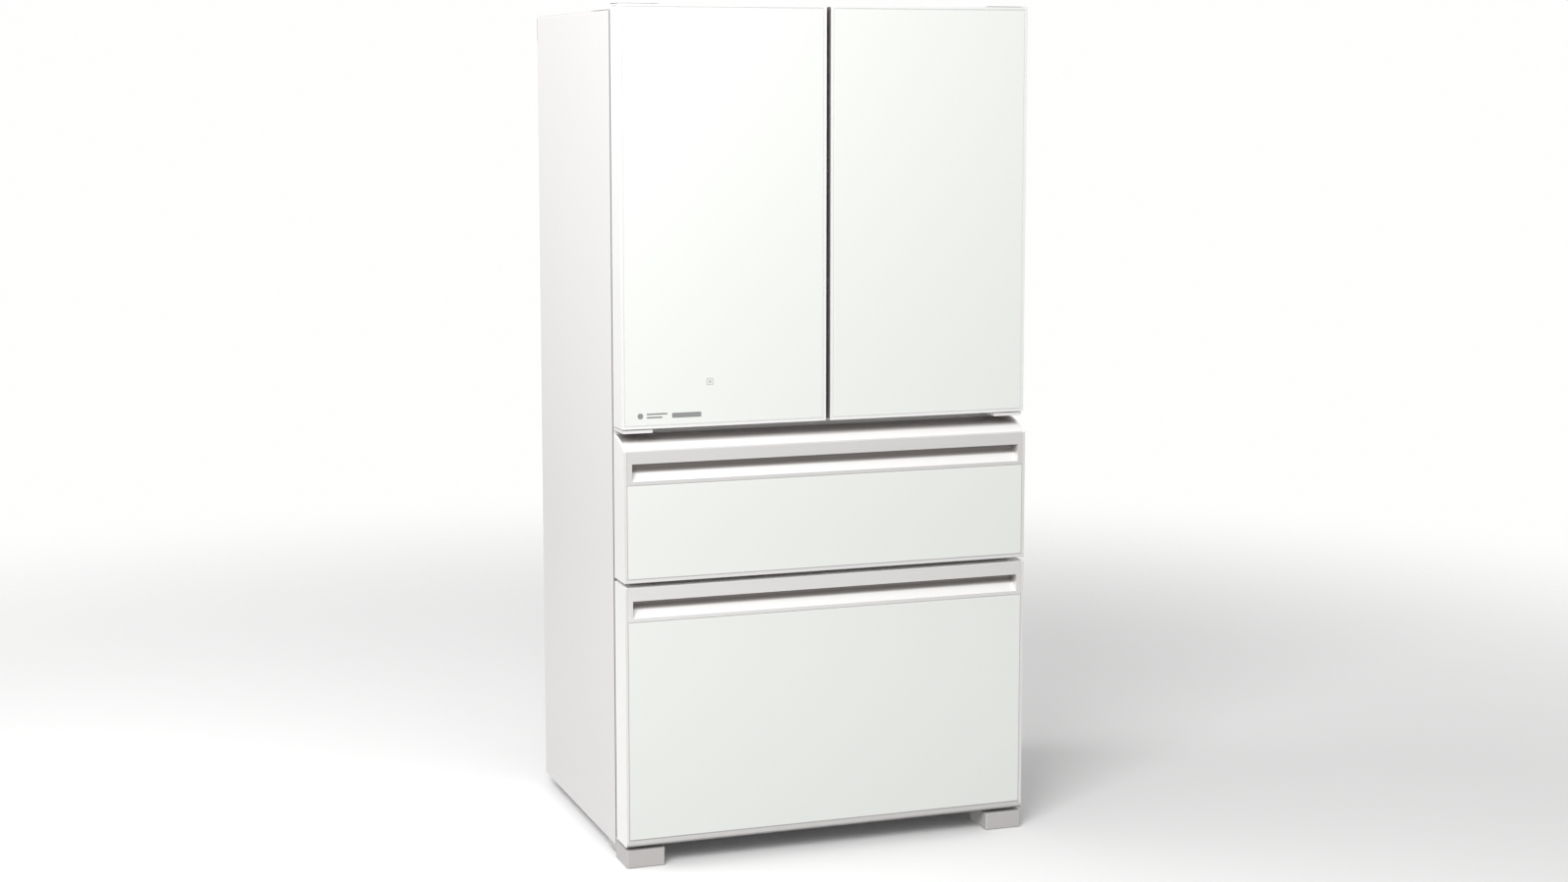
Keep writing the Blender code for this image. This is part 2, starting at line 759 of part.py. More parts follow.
def build_door(side, pivot):
    prefix = side_name(side) + "_door_"
    outer_x, split_x = door_limits(side)
    holes = [(door_top - pin_depth - seat_gap, door_top + sheet),
             (door_bottom - sheet, door_bottom + pin_depth + seat_gap)]

    frame = ring((outer_x, door_front_y, door_bottom), (split_x, fronts_back_y, door_top), "Y", edge_width)
    notch_x = outer_x - side * stop_notch_depth
    notch_back = fronts_back_y - stop_notch_back
    notch_top = door_top - stop_notch_drop
    notch = box((outer_x + side * sheet, notch_back, notch_top),
                (notch_x, notch_back - stop_notch_length, notch_top - stop_notch_height))
    frame = combined(frame, cuts=[notch] + [pin_hole(side, *hole) for hole in holes])
    add_piece(prefix + "frame", frame, "white_plastic", pivot)

    inset = edge_width + fit_gap
    pane = box((outer_x - side * inset, door_front_y, door_bottom + inset),
               (split_x + side * inset, door_front_y + glass_thickness, door_top - inset))
    add_piece(prefix + "glass", pane, "white_glass", pivot)

    add_piece(prefix + "liner", door_liner(side, inset, holes), "liner_plastic", pivot)

    gasket_y = fronts_back_y + fit_gap
    seal = ring((side * (half_width - gasket_inset), gasket_y, door_bottom + gasket_end_inset),
                (split_x + side * split_gasket_inset, cabinet_front_y - fit_gap,
                 fridge_ceiling + gasket_end_inset + gasket_width), "Y", gasket_width)
    add_piece(prefix + "gasket", seal, "gasket_rubber", pivot)

    for level, rise in (("upper", upper_bin_rise), ("lower", lower_bin_rise)):
        add_piece(side_name(side) + "_bin_" + level, door_bin(side, fridge_floor + rise),
                  "clear_plastic", pivot)


def dyke_limits(side):
    """The raised rim on the inside of a door: its corners in x and z."""
    outer = side * (half_width - dyke_hinge_inset)
    split = side * (door_split / 2 + dyke_split_inset)
    return outer, split, door_bottom + dyke_end_inset, fridge_ceiling - dyke_end_inset / 2


def door_liner(side, inset, holes):
    outer_x, split_x = door_limits(side)
    slab = box((outer_x - side * inset, door_front_y + glass_thickness + fit_gap, door_bottom + inset),
               (split_x + side * inset, fronts_back_y, door_top - inset))
    dyke_outer, dyke_split, low_z, high_z = dyke_limits(side)
    dyke = box((dyke_outer, fronts_back_y - sheet, low_z), (dyke_split, fronts_back_y + dyke_depth, high_z))
    pocket = box((dyke_outer - side * dyke_wall, fronts_back_y - dyke_pocket_extra, low_z + dyke_wall),
                 (dyke_split + side * dyke_wall, fronts_back_y + dyke_depth + sheet, high_z - dyke_wall))
    panel = combined(slab, adds=[dyke], cuts=[pocket] + [pin_hole(side, *hole) for hole in holes])
    lugs = []
    for rise in (upper_bin_rise, lower_bin_rise):
        top = fridge_floor + rise - fit_gap
        for wall_x, into in ((dyke_outer - side * dyke_wall, -side), (dyke_split + side * dyke_wall, side)):
            lugs.append(box((wall_x - into * sheet, fronts_back_y, top - bin_lug),
                            (wall_x + into * bin_lug, fronts_back_y + dyke_depth - sheet, top)))
    return combined(panel, adds=lugs)


def door_bin(side, floor):
    """An open bin that hangs between the two sides of the rim."""
    dyke_outer, dyke_split, _, _ = dyke_limits(side)
    outer_x = dyke_outer - side * (dyke_wall + seat_gap)
    split_x = dyke_split + side * (dyke_wall + seat_gap)
    back = fronts_back_y - dyke_pocket_extra + seat_gap

    def outline(inset, lift, rise):
        front = back + bin_depth
        return [
            (back + inset, floor + lift), (front - inset - bin_front_lean, floor + lift),
            (front - inset, floor + bin_height + rise), (back + inset, floor + bin_height + rise),
        ]

    shell = prism(outline(0, 0, 0), "X", outer_x, split_x)
    hollow = prism(outline(bin_wall, bin_wall, sheet), "X",
                   outer_x - side * bin_wall, split_x + side * bin_wall)
    return combined(shell, cuts=[hollow])


# Mullion: it rides on the left door, folded in beside the rim

def mullion_pivot():
    x = -mullion_offset + mullion_pivot_inset
    y = (cabinet_front_y + mullion_gasket_gap - fit_gap) + mullion_thickness - mullion_pivot_inset
    return x, y


def build_mullion(pivot):
    x, y = mullion_pivot()
    low_z = fridge_floor + mullion_end_gap
    high_z = fridge_ceiling - mullion_top_gap
    corner = (x - mullion_pivot_inset, y - mullion_pivot_inset, low_z)
    bar = box(corner, (corner[0] + mullion_thickness, corner[1] + mullion_width, high_z))
    upright = [edge for edge in bar.edges if edge.verts[0].co.xy == edge.verts[1].co.xy]
    bmesh.ops.bevel(bar, geom=upright, offset=mullion_edge_radius, segments=2, profile=0.5, affect="EDGES")
    # a spigot on the bar's end runs in the guide when the door closes
    spigot = rod((corner[0] + mullion_thickness / 2, y + mullion_width * spigot_share), "Z",
                 spigot_radius, high_z - sheet, high_z + mullion_top_gap - guide_height - slide_gap, 12)
    add_piece("mullion", combined(bar, adds=[spigot]), "white_plastic", pivot)


def build_mullion_guide():
    """The block under the ceiling whose slot turns the mullion as the door closes."""
    top = fridge_ceiling - fit_gap
    front = cabinet_front_y + liner_wall
    block = box((0, front, top - guide_height), (guide_width, front + guide_length, top))
    slot = box((guide_slot, front - sheet, top - guide_height - sheet),
               (2 * guide_slot, front + guide_length * guide_slot_share, top - guide_height / 3))
    add_piece("mullion_guide", combined(block, cuts=[slot]), "white_plastic")


# Refrigerator compartment

def chiller_cover_bottom():
    return fridge_floor + chiller_height + slide_gap


def build_shelf(name, bottom):
    half = inner_half_width - seat_gap
    low = bottom + fit_gap
    back = inner_back_y - duct_depth - seat_gap
    outline = [
        (shelf_front_y, low), (back, low), (back, low + shelf_thickness),
        (shelf_front_y + shelf_trim_depth, low + shelf_thickness),
        (shelf_front_y + shelf_trim_depth, low + shelf_trim_height - shelf_thickness),
        (shelf_front_y, low + shelf_trim_height - shelf_thickness),
    ]
    add_piece(name, prism(outline, "X", -half, half), "clear_glass")


def build_air_duct():
    low_z = chiller_cover_bottom() + shelf_trim_height
    high_z = fridge_ceiling - 3 * shelf_trim_height
    back = inner_back_y - fit_gap
    front = inner_back_y - duct_depth
    chamfer = duct_depth / 2
    outline = [
        (-duct_width / 2, back), (duct_width / 2, back), (duct_width / 2, front + chamfer),
        (duct_width / 2 - chamfer, front), (-duct_width / 2 + chamfer, front),
        (-duct_width / 2, front + chamfer),
    ]
    duct = prism(outline, "Z", low_z, high_z)
    slots = []
    pitch = (high_z - low_z) / duct_slots
    for row in range(duct_slots):
        centre = low_z + (row + 0.5) * pitch
        slot_half = duct_width / 2 - duct_slot_inset
        slots.append(box((-slot_half, front - sheet, centre - duct_slot_height / 2),
                         (slot_half, front + chamfer, centre + duct_slot_height / 2)))
    add_piece("air_duct", combined(duct, cuts=slots), "liner_plastic")


def build_ceiling_light():
    top = fridge_ceiling - fit_gap
    light = box((-light_width / 2, shelf_front_y, top - light_depth),
                (light_width / 2, shelf_front_y + light_length, top))
    edges = [edge for edge in light.edges if max(vert.co.z for vert in edge.verts) < top - light_depth / 2]
    bmesh.ops.bevel(light, geom=edges, offset=light_depth / 2, segments=2, profile=0.5, affect="EDGES")
    add_piece("ceiling_light", light, "clear_plastic")


def build_chiller_drawer(pivot):
    half = inner_half_width - shelf_rail_depth - slide_gap
    low_z = fridge_floor + seat_gap
    front = cabinet_front_y + chiller_setback
    back = inner_back_y - duct_depth - slide_gap
    shell = box((-half, front, low_z), (half, back, low_z + chiller_height - shelf_rail_height - slide_gap))
    hollow = box((-half + chiller_wall, front + 2 * chiller_wall, low_z + chiller_wall),
                 (half - chiller_wall, back - chiller_wall, low_z + chiller_height))
    grip = box((-half / 4, front - sheet, low_z + chiller_height * chiller_grip_low),
               (half / 4, front + chiller_wall, low_z + chiller_height * chiller_grip_high))
    add_piece("chiller_drawer", combined(shell, cuts=[hollow, grip]), "clear_plastic", pivot)


# Drawer fronts

class DrawerFront:
    """The heights that the pieces of one drawer front share."""

    def __init__(self, bottom, top, rise, band, sill, radius):
        self.bottom = bottom
        self.top = top
        self.rise = rise
        self.rear_top = top + rise
        self.sill = sill
        self.radius = radius
        self.grip_top = top - band
        self.grip_bottom = self.grip_top - grip_height
        self.glass_top = self.grip_bottom - grip_lip_height
        self.glass_bottom = bottom + sill

    def slope(self, depth):
        """Height of the top at a depth behind the front plane; it bends down towards the front."""
        return self.rear_top - self.rise * (1 - depth / front_thickness) ** trim_top_bend

    def top_line(self):
        """The top from back to front, and round the nose to the front plane."""
        lean = math.degrees(math.atan(trim_top_bend * self.rise / front_thickness))
        nose = (drawer_front_y + trim_nose_radius,
                self.top - trim_nose_radius * math.cos(math.radians(lean)))
        nose_depth = trim_nose_radius * (1 - math.sin(math.radians(lean)))
        points = []
        for step in range(trim_top_steps):
            depth = front_thickness + (nose_depth - front_thickness) * step / trim_top_steps
            points.append((drawer_front_y + depth, self.slope(depth)))
        return points + arc(nose, trim_nose_radius, 90 + lean, 180, 3)


def drawer_frame(front):
    """Both side plates and the sill, with the sloping top line."""
    y = drawer_front_y
    outline = (
        [(fronts_back_y, front.bottom)] + front.top_line()
        + arc((y + front.radius, front.bottom + front.radius), front.radius, 180, 270, 4)
    )
    block = prism(outline, "X", -half_width, half_width)
    room = box((-half_width + edge_width, y - sheet, front.bottom + front.sill),
               (half_width - edge_width, fronts_back_y + sheet, front.rear_top + sheet))
    return combined(block, cuts=[room])


def drawer_trim(front):
    """The aluminium extrusion along the top: sloping cover, band, grip slot and lip."""
    y = drawer_front_y
    half = half_width - edge_width - fit_gap
    back = y + grip_depth + trim_wall
    outline = (
        [(y, front.glass_top), (back, front.glass_top), (back, front.slope(back - y) - trim_plate),
         (fronts_back_y, front.rear_top - trim_plate)]
        + front.top_line()
    )
    solid = prism(outline, "X", -half, half)
    scoop = sagging_line((y, front.grip_bottom), (y + grip_depth, front.grip_bottom + grip_depth),
                         grip_scoop_sag, 6)
    slot_outline = (
        [(y - sheet, front.grip_bottom)] + scoop
        + [(y + grip_depth, front.grip_top + grip_pocket_rise),
           (y + grip_band_thickness, front.grip_top + grip_pocket_rise),
           (y + grip_band_thickness, front.grip_top), (y - sheet, front.grip_top)]
    )
    slot = prism(slot_outline, "X", -half_width + grip_end_inset, half_width - grip_end_inset)
    return combined(solid, cuts=[slot])


def drawer_glass(front):
    half = half_width - edge_width - fit_gap
    return box((-half, drawer_front_y, front.glass_bottom + fit_gap),
               (half, drawer_front_y + glass_thickness, front.glass_top - fit_gap))


def drawer_liner_panel(front, plateau_low, plateau_high):
    """The insulated block behind the glass and the trim, with the raised panel that fits the opening."""
    y = drawer_front_y
    half = half_width - edge_width - fit_gap
    step = y + grip_depth + trim_wall + fit_gap
    outline = [
        (y + glass_thickness + fit_gap, front.glass_bottom + fit_gap),
        (fronts_back_y, front.glass_bottom + fit_gap),
        (fronts_back_y, front.rear_top - trim_plate - fit_gap),
        (step, front.slope(step - y) - trim_plate - fit_gap),
        (step, front.glass_top - fit_gap), (y + glass_thickness + fit_gap, front.glass_top - fit_gap),
    ]
    block = prism(outline, "X", -half, half)
    plateau_half = inner_half_width - rail_side_gap - rail_width - slide_gap
    plateau = box((-plateau_half, fronts_back_y - sheet, plateau_low),
                  (plateau_half, fronts_back_y + plateau_depth, plateau_high))
    return combined(block, adds=[plateau])


def drawer_gasket(low_z, high_z):
    half = inner_half_width + gasket_end_inset + gasket_width
    return ring((-half, fronts_back_y + fit_gap, low_z), (half, cabinet_front_y - fit_gap, high_z),
                "Y", gasket_width)


def drawer_carrier(low_z, back):
    """Two side rails joined by a bar at the back; the front ends bolt to the drawer front."""
    outer = inner_half_width - rail_side_gap
    inner = outer - rail_width
    front = fronts_back_y + fit_gap
    block = box((-outer, front, low_z), (outer, back, low_z + rail_height))
    room = box((-inner, front - sheet, low_z - sheet),
               (inner, back - rail_bar, low_z + rail_height + sheet))
    return combined(block, cuts=[room])


def basket(low_z, shoulder_z, high_z, back):
    """An open basket whose shoulders rest on the carrier's rails."""
    shoulder_half = inner_half_width - rail_side_gap - rail_width + basket_shoulder
    body_half = inner_half_width - rail_side_gap - rail_width - seat_gap
    front = fronts_back_y + plateau_depth + seat_gap

    def outline(wall, rise):
        floor = low_z + wall
        shelf = shoulder_z + wall
        top = high_z + rise
        body = body_half - wall
        rim = shoulder_half - wall
        return [
            (-body, floor), (body, floor), (body, shelf), (rim, shelf), (rim, top),
            (-rim, top), (-rim, shelf), (-body, shelf),
        ]

    shell = prism(outline(0, 0), "Y", front, back)
    hollow = prism(outline(basket_wall, sheet), "Y", front + basket_wall, back - basket_wall)
    return combined(shell, cuts=[hollow])


def build_drawer(name, front, pivot):
    add_piece(name + "_frame", drawer_frame(front), "white_plastic", pivot)
    add_piece(name + "_handle", drawer_trim(front), "aluminium", pivot)
    add_piece(name + "_glass", drawer_glass(front), "white_glass", pivot)


def build_middle_drawer(pivot):
    front = DrawerFront(middle_bottom, middle_top, middle_trim_rise, middle_band_height,
                        middle_sill_height, middle_sill_radius)
    build_drawer("middle_drawer", front, pivot)
    low = partition_high
    high = drawer_ceiling
    panel = drawer_liner_panel(front, low + slide_gap, high - plateau_inset)
    add_piece("middle_drawer_liner", panel, "liner_plastic", pivot)
    add_piece("middle_drawer_gasket",
              drawer_gasket(low - gasket_end_inset - gasket_width, high + gasket_end_inset + gasket_width),
              "gasket_rubber", pivot)
    rail = middle_rail_low()
    add_piece("middle_drawer_carrier", drawer_carrier(rail, middle_rail_back), "steel", pivot)
    shoulder = rail + rail_height + fit_gap
    back = middle_rail_back - rail_bar - seat_gap
    add_piece("middle_drawer_bin", basket(rail, shoulder, high - middle_basket_top_gap, back),
              "clear_plastic", pivot)


def build_lower_drawer(pivot, tray_pivot):
    front = DrawerFront(lower_bottom, lower_top, lower_trim_rise, lower_band_height,
                        lower_sill_height, lower_sill_radius)
    build_drawer("lower_drawer", front, pivot)
    low = drawer_floor
    high = partition_low
    panel = drawer_liner_panel(front, low + plateau_inset, high - plateau_inset)
    add_piece("lower_drawer_liner", panel, "liner_plastic", pivot)
    add_piece("lower_drawer_gasket",
              drawer_gasket(low - gasket_end_inset - gasket_width, high + gasket_end_inset + gasket_width),
              "gasket_rubber", pivot)
    rail = lower_rail_low()
    add_piece("lower_drawer_carrier", drawer_carrier(rail, lower_rail_back), "steel", pivot)
    shoulder = rail + rail_height + fit_gap
    rim = shoulder + lower_basket_rim
    back = step_y - lower_basket_back_gap
    add_piece("lower_drawer_bin", basket(low + lower_basket_floor_gap, shoulder, rim, back),
              "clear_plastic", pivot)
    half = inner_half_width - rail_side_gap - rail_width + basket_shoulder
    y = fronts_back_y + plateau_depth + seat_gap
    tray = box((-half, y, rim + fit_gap), (half, y + tray_length, rim + fit_gap + tray_height))
    hollow = box((-half + basket_wall, y + basket_wall, rim + fit_gap + basket_wall),
                 (half - basket_wall, y + tray_length - basket_wall, rim + 2 * tray_height))
    add_piece("lower_drawer_tray", combined(tray, cuts=[hollow]), "clear_plastic", tray_pivot)


# Cooling

def build_evaporator():
    """A finned block: a spine with upright fins on it."""
    back = inner_back_y - 2 * slide_gap
    spine_front = back - fin_spine
    front = back - evaporator_depth
    half = evaporator_width / 2
    low_z = step_z + 3 * slide_gap
    pitch = (evaporator_width - fin_thickness) / (evaporator_fins - 1)
    outline = [(half, back), (-half, back)]
    for fin in range(evaporator_fins):
        left = -half + fin * pitch
        right = left + fin_thickness
        outline += [(left, spine_front), (left, front), (right, front), (right, spine_front)]
    outline = [point for index, point in enumerate(outline) if index not in (2, len(outline) - 1)]
    add_piece("evaporator", prism(outline, "Z", low_z, low_z + evaporator_height), "aluminium")


def build_fan(pivot):
    centre_z = fan_centre_z()
    front = baffle_y + (baffle_thickness - fan_depth) / 2
    hub = rod((0, centre_z), "Y", fan_hub_radius, front, front + fan_depth, 20)
    blades = []
    for index in range(fan_blades):
        blade = box((fan_hub_radius * fan_blade_root, -fan_blade_thickness / 2, -fan_depth * fan_blade_width),
                    (fan_radius, fan_blade_thickness / 2, fan_depth * fan_blade_width))
        turn = Matrix.Rotation(2 * math.pi * index / fan_blades, 4, "Y")
        pitch = Matrix.Rotation(fan_blade_pitch, 4, "X")
        move = Matrix.Translation((0, front + fan_depth / 2, centre_z))
        bmesh.ops.transform(blade, matrix=move @ turn @ pitch, verts=blade.verts)
        blades.append(blade)
    add_piece("evaporator_fan", combined(hub, adds=blades), "dark_plastic", pivot)


def build_compressor():
    """A welded can on a mounting foot."""
    base = wrap_bottom + base_plate_thickness + 2 * fit_gap
    centre = (half_width * compressor_place, (machine_front_y + panel_front_y) / 2)
    foot_x = compressor_radius * compressor_foot_length
    foot_y = compressor_radius * compressor_foot_width
    foot = box((centre[0] - foot_x, centre[1] - foot_y, base),
               (centre[0] + foot_x, centre[1] + foot_y, base + compressor_foot))
    top = base + compressor_height
    low = base + compressor_foot / 2
    radius = compressor_radius
    dome = radius * compressor_dome
    profile = [(radius * out, low + radius * up) for out, up in compressor_can]
    profile.append((radius, top - dome))
    for angle in (math.radians(30), math.radians(60)):
        profile.append((radius * math.cos(angle), top - dome * (1 - math.sin(angle))))
    profile.append((0, top))
    can = turned(profile, centre)
    add_piece("compressor", combined(can, adds=[foot]), "black_steel", smooth=True)


def build_machine_cover():
    half = half_width - sheet - seat_gap
    low_z = foam_bottom + seat_gap
    high_z = machine_room_height - seat_gap
    back = cabinet_back_y - sheet
    plate = box((-half, back - cover_thickness, low_z), (half, back, high_z))
    cuts = []
    centre_z = (low_z + high_z) / 2
    for row in range(vent_rows):
        z = centre_z + (row - (vent_rows - 1) / 2) * vent_pitch_z
        for column in range(vent_columns):
            x = (column - (vent_columns - 1) / 2) * vent_pitch_x
            cuts.append(box((x - vent_width / 2, back - 2 * cover_thickness, z - vent_height / 2),
                            (x + vent_width / 2, back + sheet, z + vent_height / 2)))
    gland = gland_centre()
    cuts.append(rod(gland, "Y", gland_radius, back - 2 * cover_thickness, back + sheet))
    add_piece("machine_room_cover", combined(plate, cuts=cuts), "steel")


def gland_centre():
    return -half_width * gland_place, machine_room_height - 3 * gland_radius


def build_power_gland():
    """The rubber bush where a power cord would leave; its bore is open right through."""
    back = cabinet_back_y - sheet
    centre = gland_centre()
    body = rod(centre, "Y", gland_radius - fit_gap, back - cover_thickness - gland_flange, back)
    flange = rod(centre, "Y", gland_radius + gland_flange, back - cover_thickness - gland_flange - fit_gap,
                 back - cover_thickness - fit_gap)
    bore = rod(centre, "Y", gland_bore, back - 4 * gland_flange, back + sheet, 12)
    add_piece("power_gland", combined(body, adds=[flange], cuts=[bore]), "dark_plastic", smooth=True)


# Feet

def build_foot_cover(side):
    """A boxy cover in front of the base, open below and behind."""
    outer_x = side * half_width
    inner_x = side * (half_width - foot_cover_width)
    front = drawer_front_y
    back = front + foot_cover_depth
    shell = box((outer_x, front, foot_cover_lift), (inner_x, back, foot_cover_height))
    corners = [edge for edge in shell.edges
               if all(vert.co.y < front + sheet for vert in edge.verts)
               and edge.verts[0].co.x == edge.verts[1].co.x]
    bmesh.ops.bevel(shell, geom=corners, offset=foot_cover_radius, segments=3, profile=0.5, affect="EDGES")
    hollow = box((outer_x - side * foot_cover_wall, front + foot_cover_wall, foot_cover_lift - sheet),
                 (inner_x + side * foot_cover_wall, back + sheet, foot_cover_height - foot_cover_wall))
    add_piece("foot_cover_" + side_name(side), combined(shell, cuts=[hollow]), "grey_plastic")


def build_levelling_foot(side, pivot):
    centre = (side * (half_width - foot_inset_x), drawer_front_y + foot_inset_y)
    stem_top = wrap_bottom + base_plate_thickness + foot_stem_above
    disc = [(foot_radius * out, foot_disc * up) for out, up in foot_disc_profile]
    profile = [(0, 0)] + disc + [(foot_stem_radius, foot_disc), (foot_stem_radius, stem_top), (0, stem_top)]
    add_piece("levelling_foot_" + side_name(side), turned(profile, centre, 20), "dark_plastic", pivot,
              smooth=True)


def build_rear_roller(side, pivot):
    x = side * (half_width - roller_inset_x)
    centre = (cabinet_back_y - roller_inset_y, roller_radius)
    tyre = rod(centre, "X", roller_radius, x - roller_width / 2, x + roller_width / 2, 24)
    reach = roller_width / 2 + roller_window_gap + roller_ear + sheet
    axle = rod(centre, "X", roller_axle_radius, x - reach, x + reach, 16)
    add_piece("rear_roller_" + side_name(side), combined(tyre, adds=[axle]), "dark_plastic", pivot,
              smooth=True)


def build_all():
    for item in list(bpy.data.objects):
        bpy.data.objects.remove(item)

    build_wrap()
    build_back_panel()
    build_base_plate()
    build_foam()
    build_fridge_liner()
    build_drawer_liner()
    build_crossbar()
    build_partition()
    build_mullion_guide()
    build_air_duct()
    build_ceiling_light()
    for name, rise in zip(("shelf_middle", "shelf_upper"), shelf_rises):
        build_shelf(name, fridge_floor + rise)
    build_shelf("chiller_cover", chiller_cover_bottom())
    build_evaporator()
    build_compressor()
    build_machine_cover()
    build_power_gland()

    middle = (0, drawer_front_y, (middle_bottom + middle_top) / 2)
    lower = (0, drawer_front_y, (lower_bottom + lower_top) / 2)
    tray_point = (0, drawer_front_y + front_thickness, lower_rail_low())
    build_middle_drawer(add_pivot("middle_drawer_slide", middle))
    lower_pivot = add_pivot("lower_drawer_slide", lower)
    build_lower_drawer(lower_pivot, add_pivot("lower_tray_slide", tray_point, lower_pivot))
    build_chiller_drawer(add_pivot("chiller_slide", (0, cabinet_front_y + chiller_setback, fridge_floor)))
    fan_y = baffle_y + baffle_thickness / 2
    build_fan(add_pivot("evaporator_fan_spin", (0, fan_y, fan_centre_z())))

    for side in (-1, 1):
        label = side_name(side)
        build_top_hinge(side)
        build_hinge_cover(side)
        build_centre_hinge(side)
        build_foot_cover(side)
        door_pivot = add_pivot(label + "_door_swing", (side * hinge_x, hinge_y, door_bottom))
        build_door(side, door_pivot)
        if side < 0:
            build_mullion(add_pivot("mullion_flip", (*mullion_pivot(), fridge_floor), door_pivot))
        foot_point = (side * (half_width - foot_inset_x), drawer_front_y + foot_inset_y, 0)
        build_levelling_foot(side, add_pivot(label + "_foot_turn", foot_point))
        roller_x = side * (half_width - roller_inset_x)
        roller_point = (roller_x, cabinet_back_y - roller_inset_y, roller_radius)
        build_rear_roller(side, add_pivot(label + "_roller_turn", roller_point))


build_all()
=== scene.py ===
import math

import bpy
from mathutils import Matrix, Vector


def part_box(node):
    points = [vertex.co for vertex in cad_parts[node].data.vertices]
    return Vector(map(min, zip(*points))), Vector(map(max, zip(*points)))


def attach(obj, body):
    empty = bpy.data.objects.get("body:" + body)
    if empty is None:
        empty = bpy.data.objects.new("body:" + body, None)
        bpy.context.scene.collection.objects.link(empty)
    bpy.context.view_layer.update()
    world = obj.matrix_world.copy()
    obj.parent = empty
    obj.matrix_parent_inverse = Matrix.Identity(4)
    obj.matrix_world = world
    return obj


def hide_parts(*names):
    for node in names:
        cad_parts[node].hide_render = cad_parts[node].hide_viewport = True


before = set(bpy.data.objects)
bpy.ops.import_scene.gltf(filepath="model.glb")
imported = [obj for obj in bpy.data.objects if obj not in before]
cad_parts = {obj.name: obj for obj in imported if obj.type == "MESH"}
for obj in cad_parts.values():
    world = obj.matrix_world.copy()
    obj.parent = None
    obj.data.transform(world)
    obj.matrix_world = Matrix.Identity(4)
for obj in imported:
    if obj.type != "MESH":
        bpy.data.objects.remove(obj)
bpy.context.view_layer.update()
print("frame loaded,", len(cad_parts), "parts")

scene = bpy.context.scene
scene.view_settings.view_transform = "Standard"

mm = 0.001
finishes = {}


class Wire:  # a shader value that takes part in sums
    def __init__(self, finish, socket):
        self.finish = finish
        self.socket = socket

    def sum(self, operation, first, second):
        return self.finish.node("Math", {"operation": operation}, {0: first, 1: second})

    def __add__(self, other):
        return self.sum("ADD", self, other)

    def __radd__(self, other):
        return self.sum("ADD", other, self)

    def __sub__(self, other):
        return self.sum("SUBTRACT", self, other)

    def __rsub__(self, other):
        return self.sum("SUBTRACT", other, self)

    def __mul__(self, other):
        return self.sum("MULTIPLY", self, other)

    def __rmul__(self, other):
        return self.sum("MULTIPLY", other, self)

    def __truediv__(self, other):
        return self.sum("DIVIDE", self, other)

    def __rtruediv__(self, other):
        return self.sum("DIVIDE", other, self)


class Finish:  # one procedural material
    def __init__(self, name):
        self.material = bpy.data.materials.new(name)
        self.material.use_nodes = True
        finishes[name] = self.material
        self.tree = self.material.node_tree
        self.surface = self.tree.nodes["Principled BSDF"]
        self.place = self.node("TexCoord", output="Object")

    def node(self, kind, settings=None, sockets=None, output=0):
        made = self.tree.nodes.new("ShaderNode" + kind)
        for key, value in (settings or {}).items():
            if key == "stops":
                ramp = made.color_ramp.elements
                while len(ramp) < len(value):
                    ramp.new(1)
                for stop, (spot, grey) in zip(ramp, value):
                    stop.position = spot
                    stop.color = (grey, grey, grey, 1)
            else:
                setattr(made, key, value)
        for key, value in (sockets or {}).items():
            self.plug(made.inputs[key], value)
        return Wire(self, made.outputs[output])

    def plug(self, socket, value):
        if isinstance(value, Wire):
            self.tree.links.new(value.socket, socket)
        elif socket.type == "RGBA" and len(value) == 3:
            socket.default_value = (*value, 1)
        else:
            socket.default_value = value

    def noise(self, scale, detail=2, roughness=0.5, stretch=None):
        where = self.place if stretch is None else self.stretched(stretch)
        return self.node("TexNoise", {}, {"Vector": where, "Scale": scale, "Detail": detail,
                                          "Roughness": roughness})

    def streaks(self, stretch):  # the fine lines of a brushed surface
        return self.noise(scale=1, detail=4, roughness=0.65, stretch=stretch)

    def stretched(self, stretch):
        return self.node("Mapping", {}, {"Vector": self.place, "Scale": stretch})

    def ramp(self, value, *stops):
        return self.node("ValToRGB", {"stops": stops}, {"Fac": value})

    def mix(self, share, first, second):
        return self.node("Mix", {"data_type": "RGBA"}, {0: share, 6: first, 7: second}, 2)

    def vary(self, share, colour, darker, lighter):  # from a darker to a lighter shade
        return self.mix(share, shade(colour, darker), shade(colour, lighter))

    def axis(self, letter):
        return self.node("SeparateXYZ", {}, {0: self.place}, letter)

    def fromMiddle(self):  # the distance to either side of the object's middle
        return self.node("Math", {"operation": "ABSOLUTE"}, {0: self.axis("X")})

    def bump(self, height, distance, strength=1.0):
        made = self.node("Bump", {}, {"Height": height, "Distance": distance, "Strength": strength})
        self.plug(self.surface.inputs["Normal"], made)

    def set(self, **values):
        for name, value in values.items():
            self.plug(self.surface.inputs[name.replace("_", " ")], value)


def shade(colour, change):
    return tuple(min(1, channel * change) for channel in colour)


def makePaintedSteel(key, colour, roughness, peel=1.0):
    paint = Finish(key)
    broad = paint.noise(scale=1.6, detail=2)
    orangePeel = paint.noise(scale=420, detail=3, roughness=0.55)
    dust = paint.noise(scale=2600, detail=2)
    paint.set(Base_Color=paint.vary(broad * 0.6 + dust * 0.25, colour, 0.975, 1.02),
              Roughness=roughness + (orangePeel - 0.5) * 0.10,
              Specular_IOR_Level=0.4)
    paint.bump(orangePeel + dust * 0.25, distance=0.00004 * peel, strength=0.7)


# the painted shade on the flange's outer rim: its two grey tones, where it starts and how wide
flangeRimShade = {"dark": (0.26, 0.25, 0.245), "light": (0.29, 0.28, 0.275), "from": 0.445,
             "width": 8 * mm}


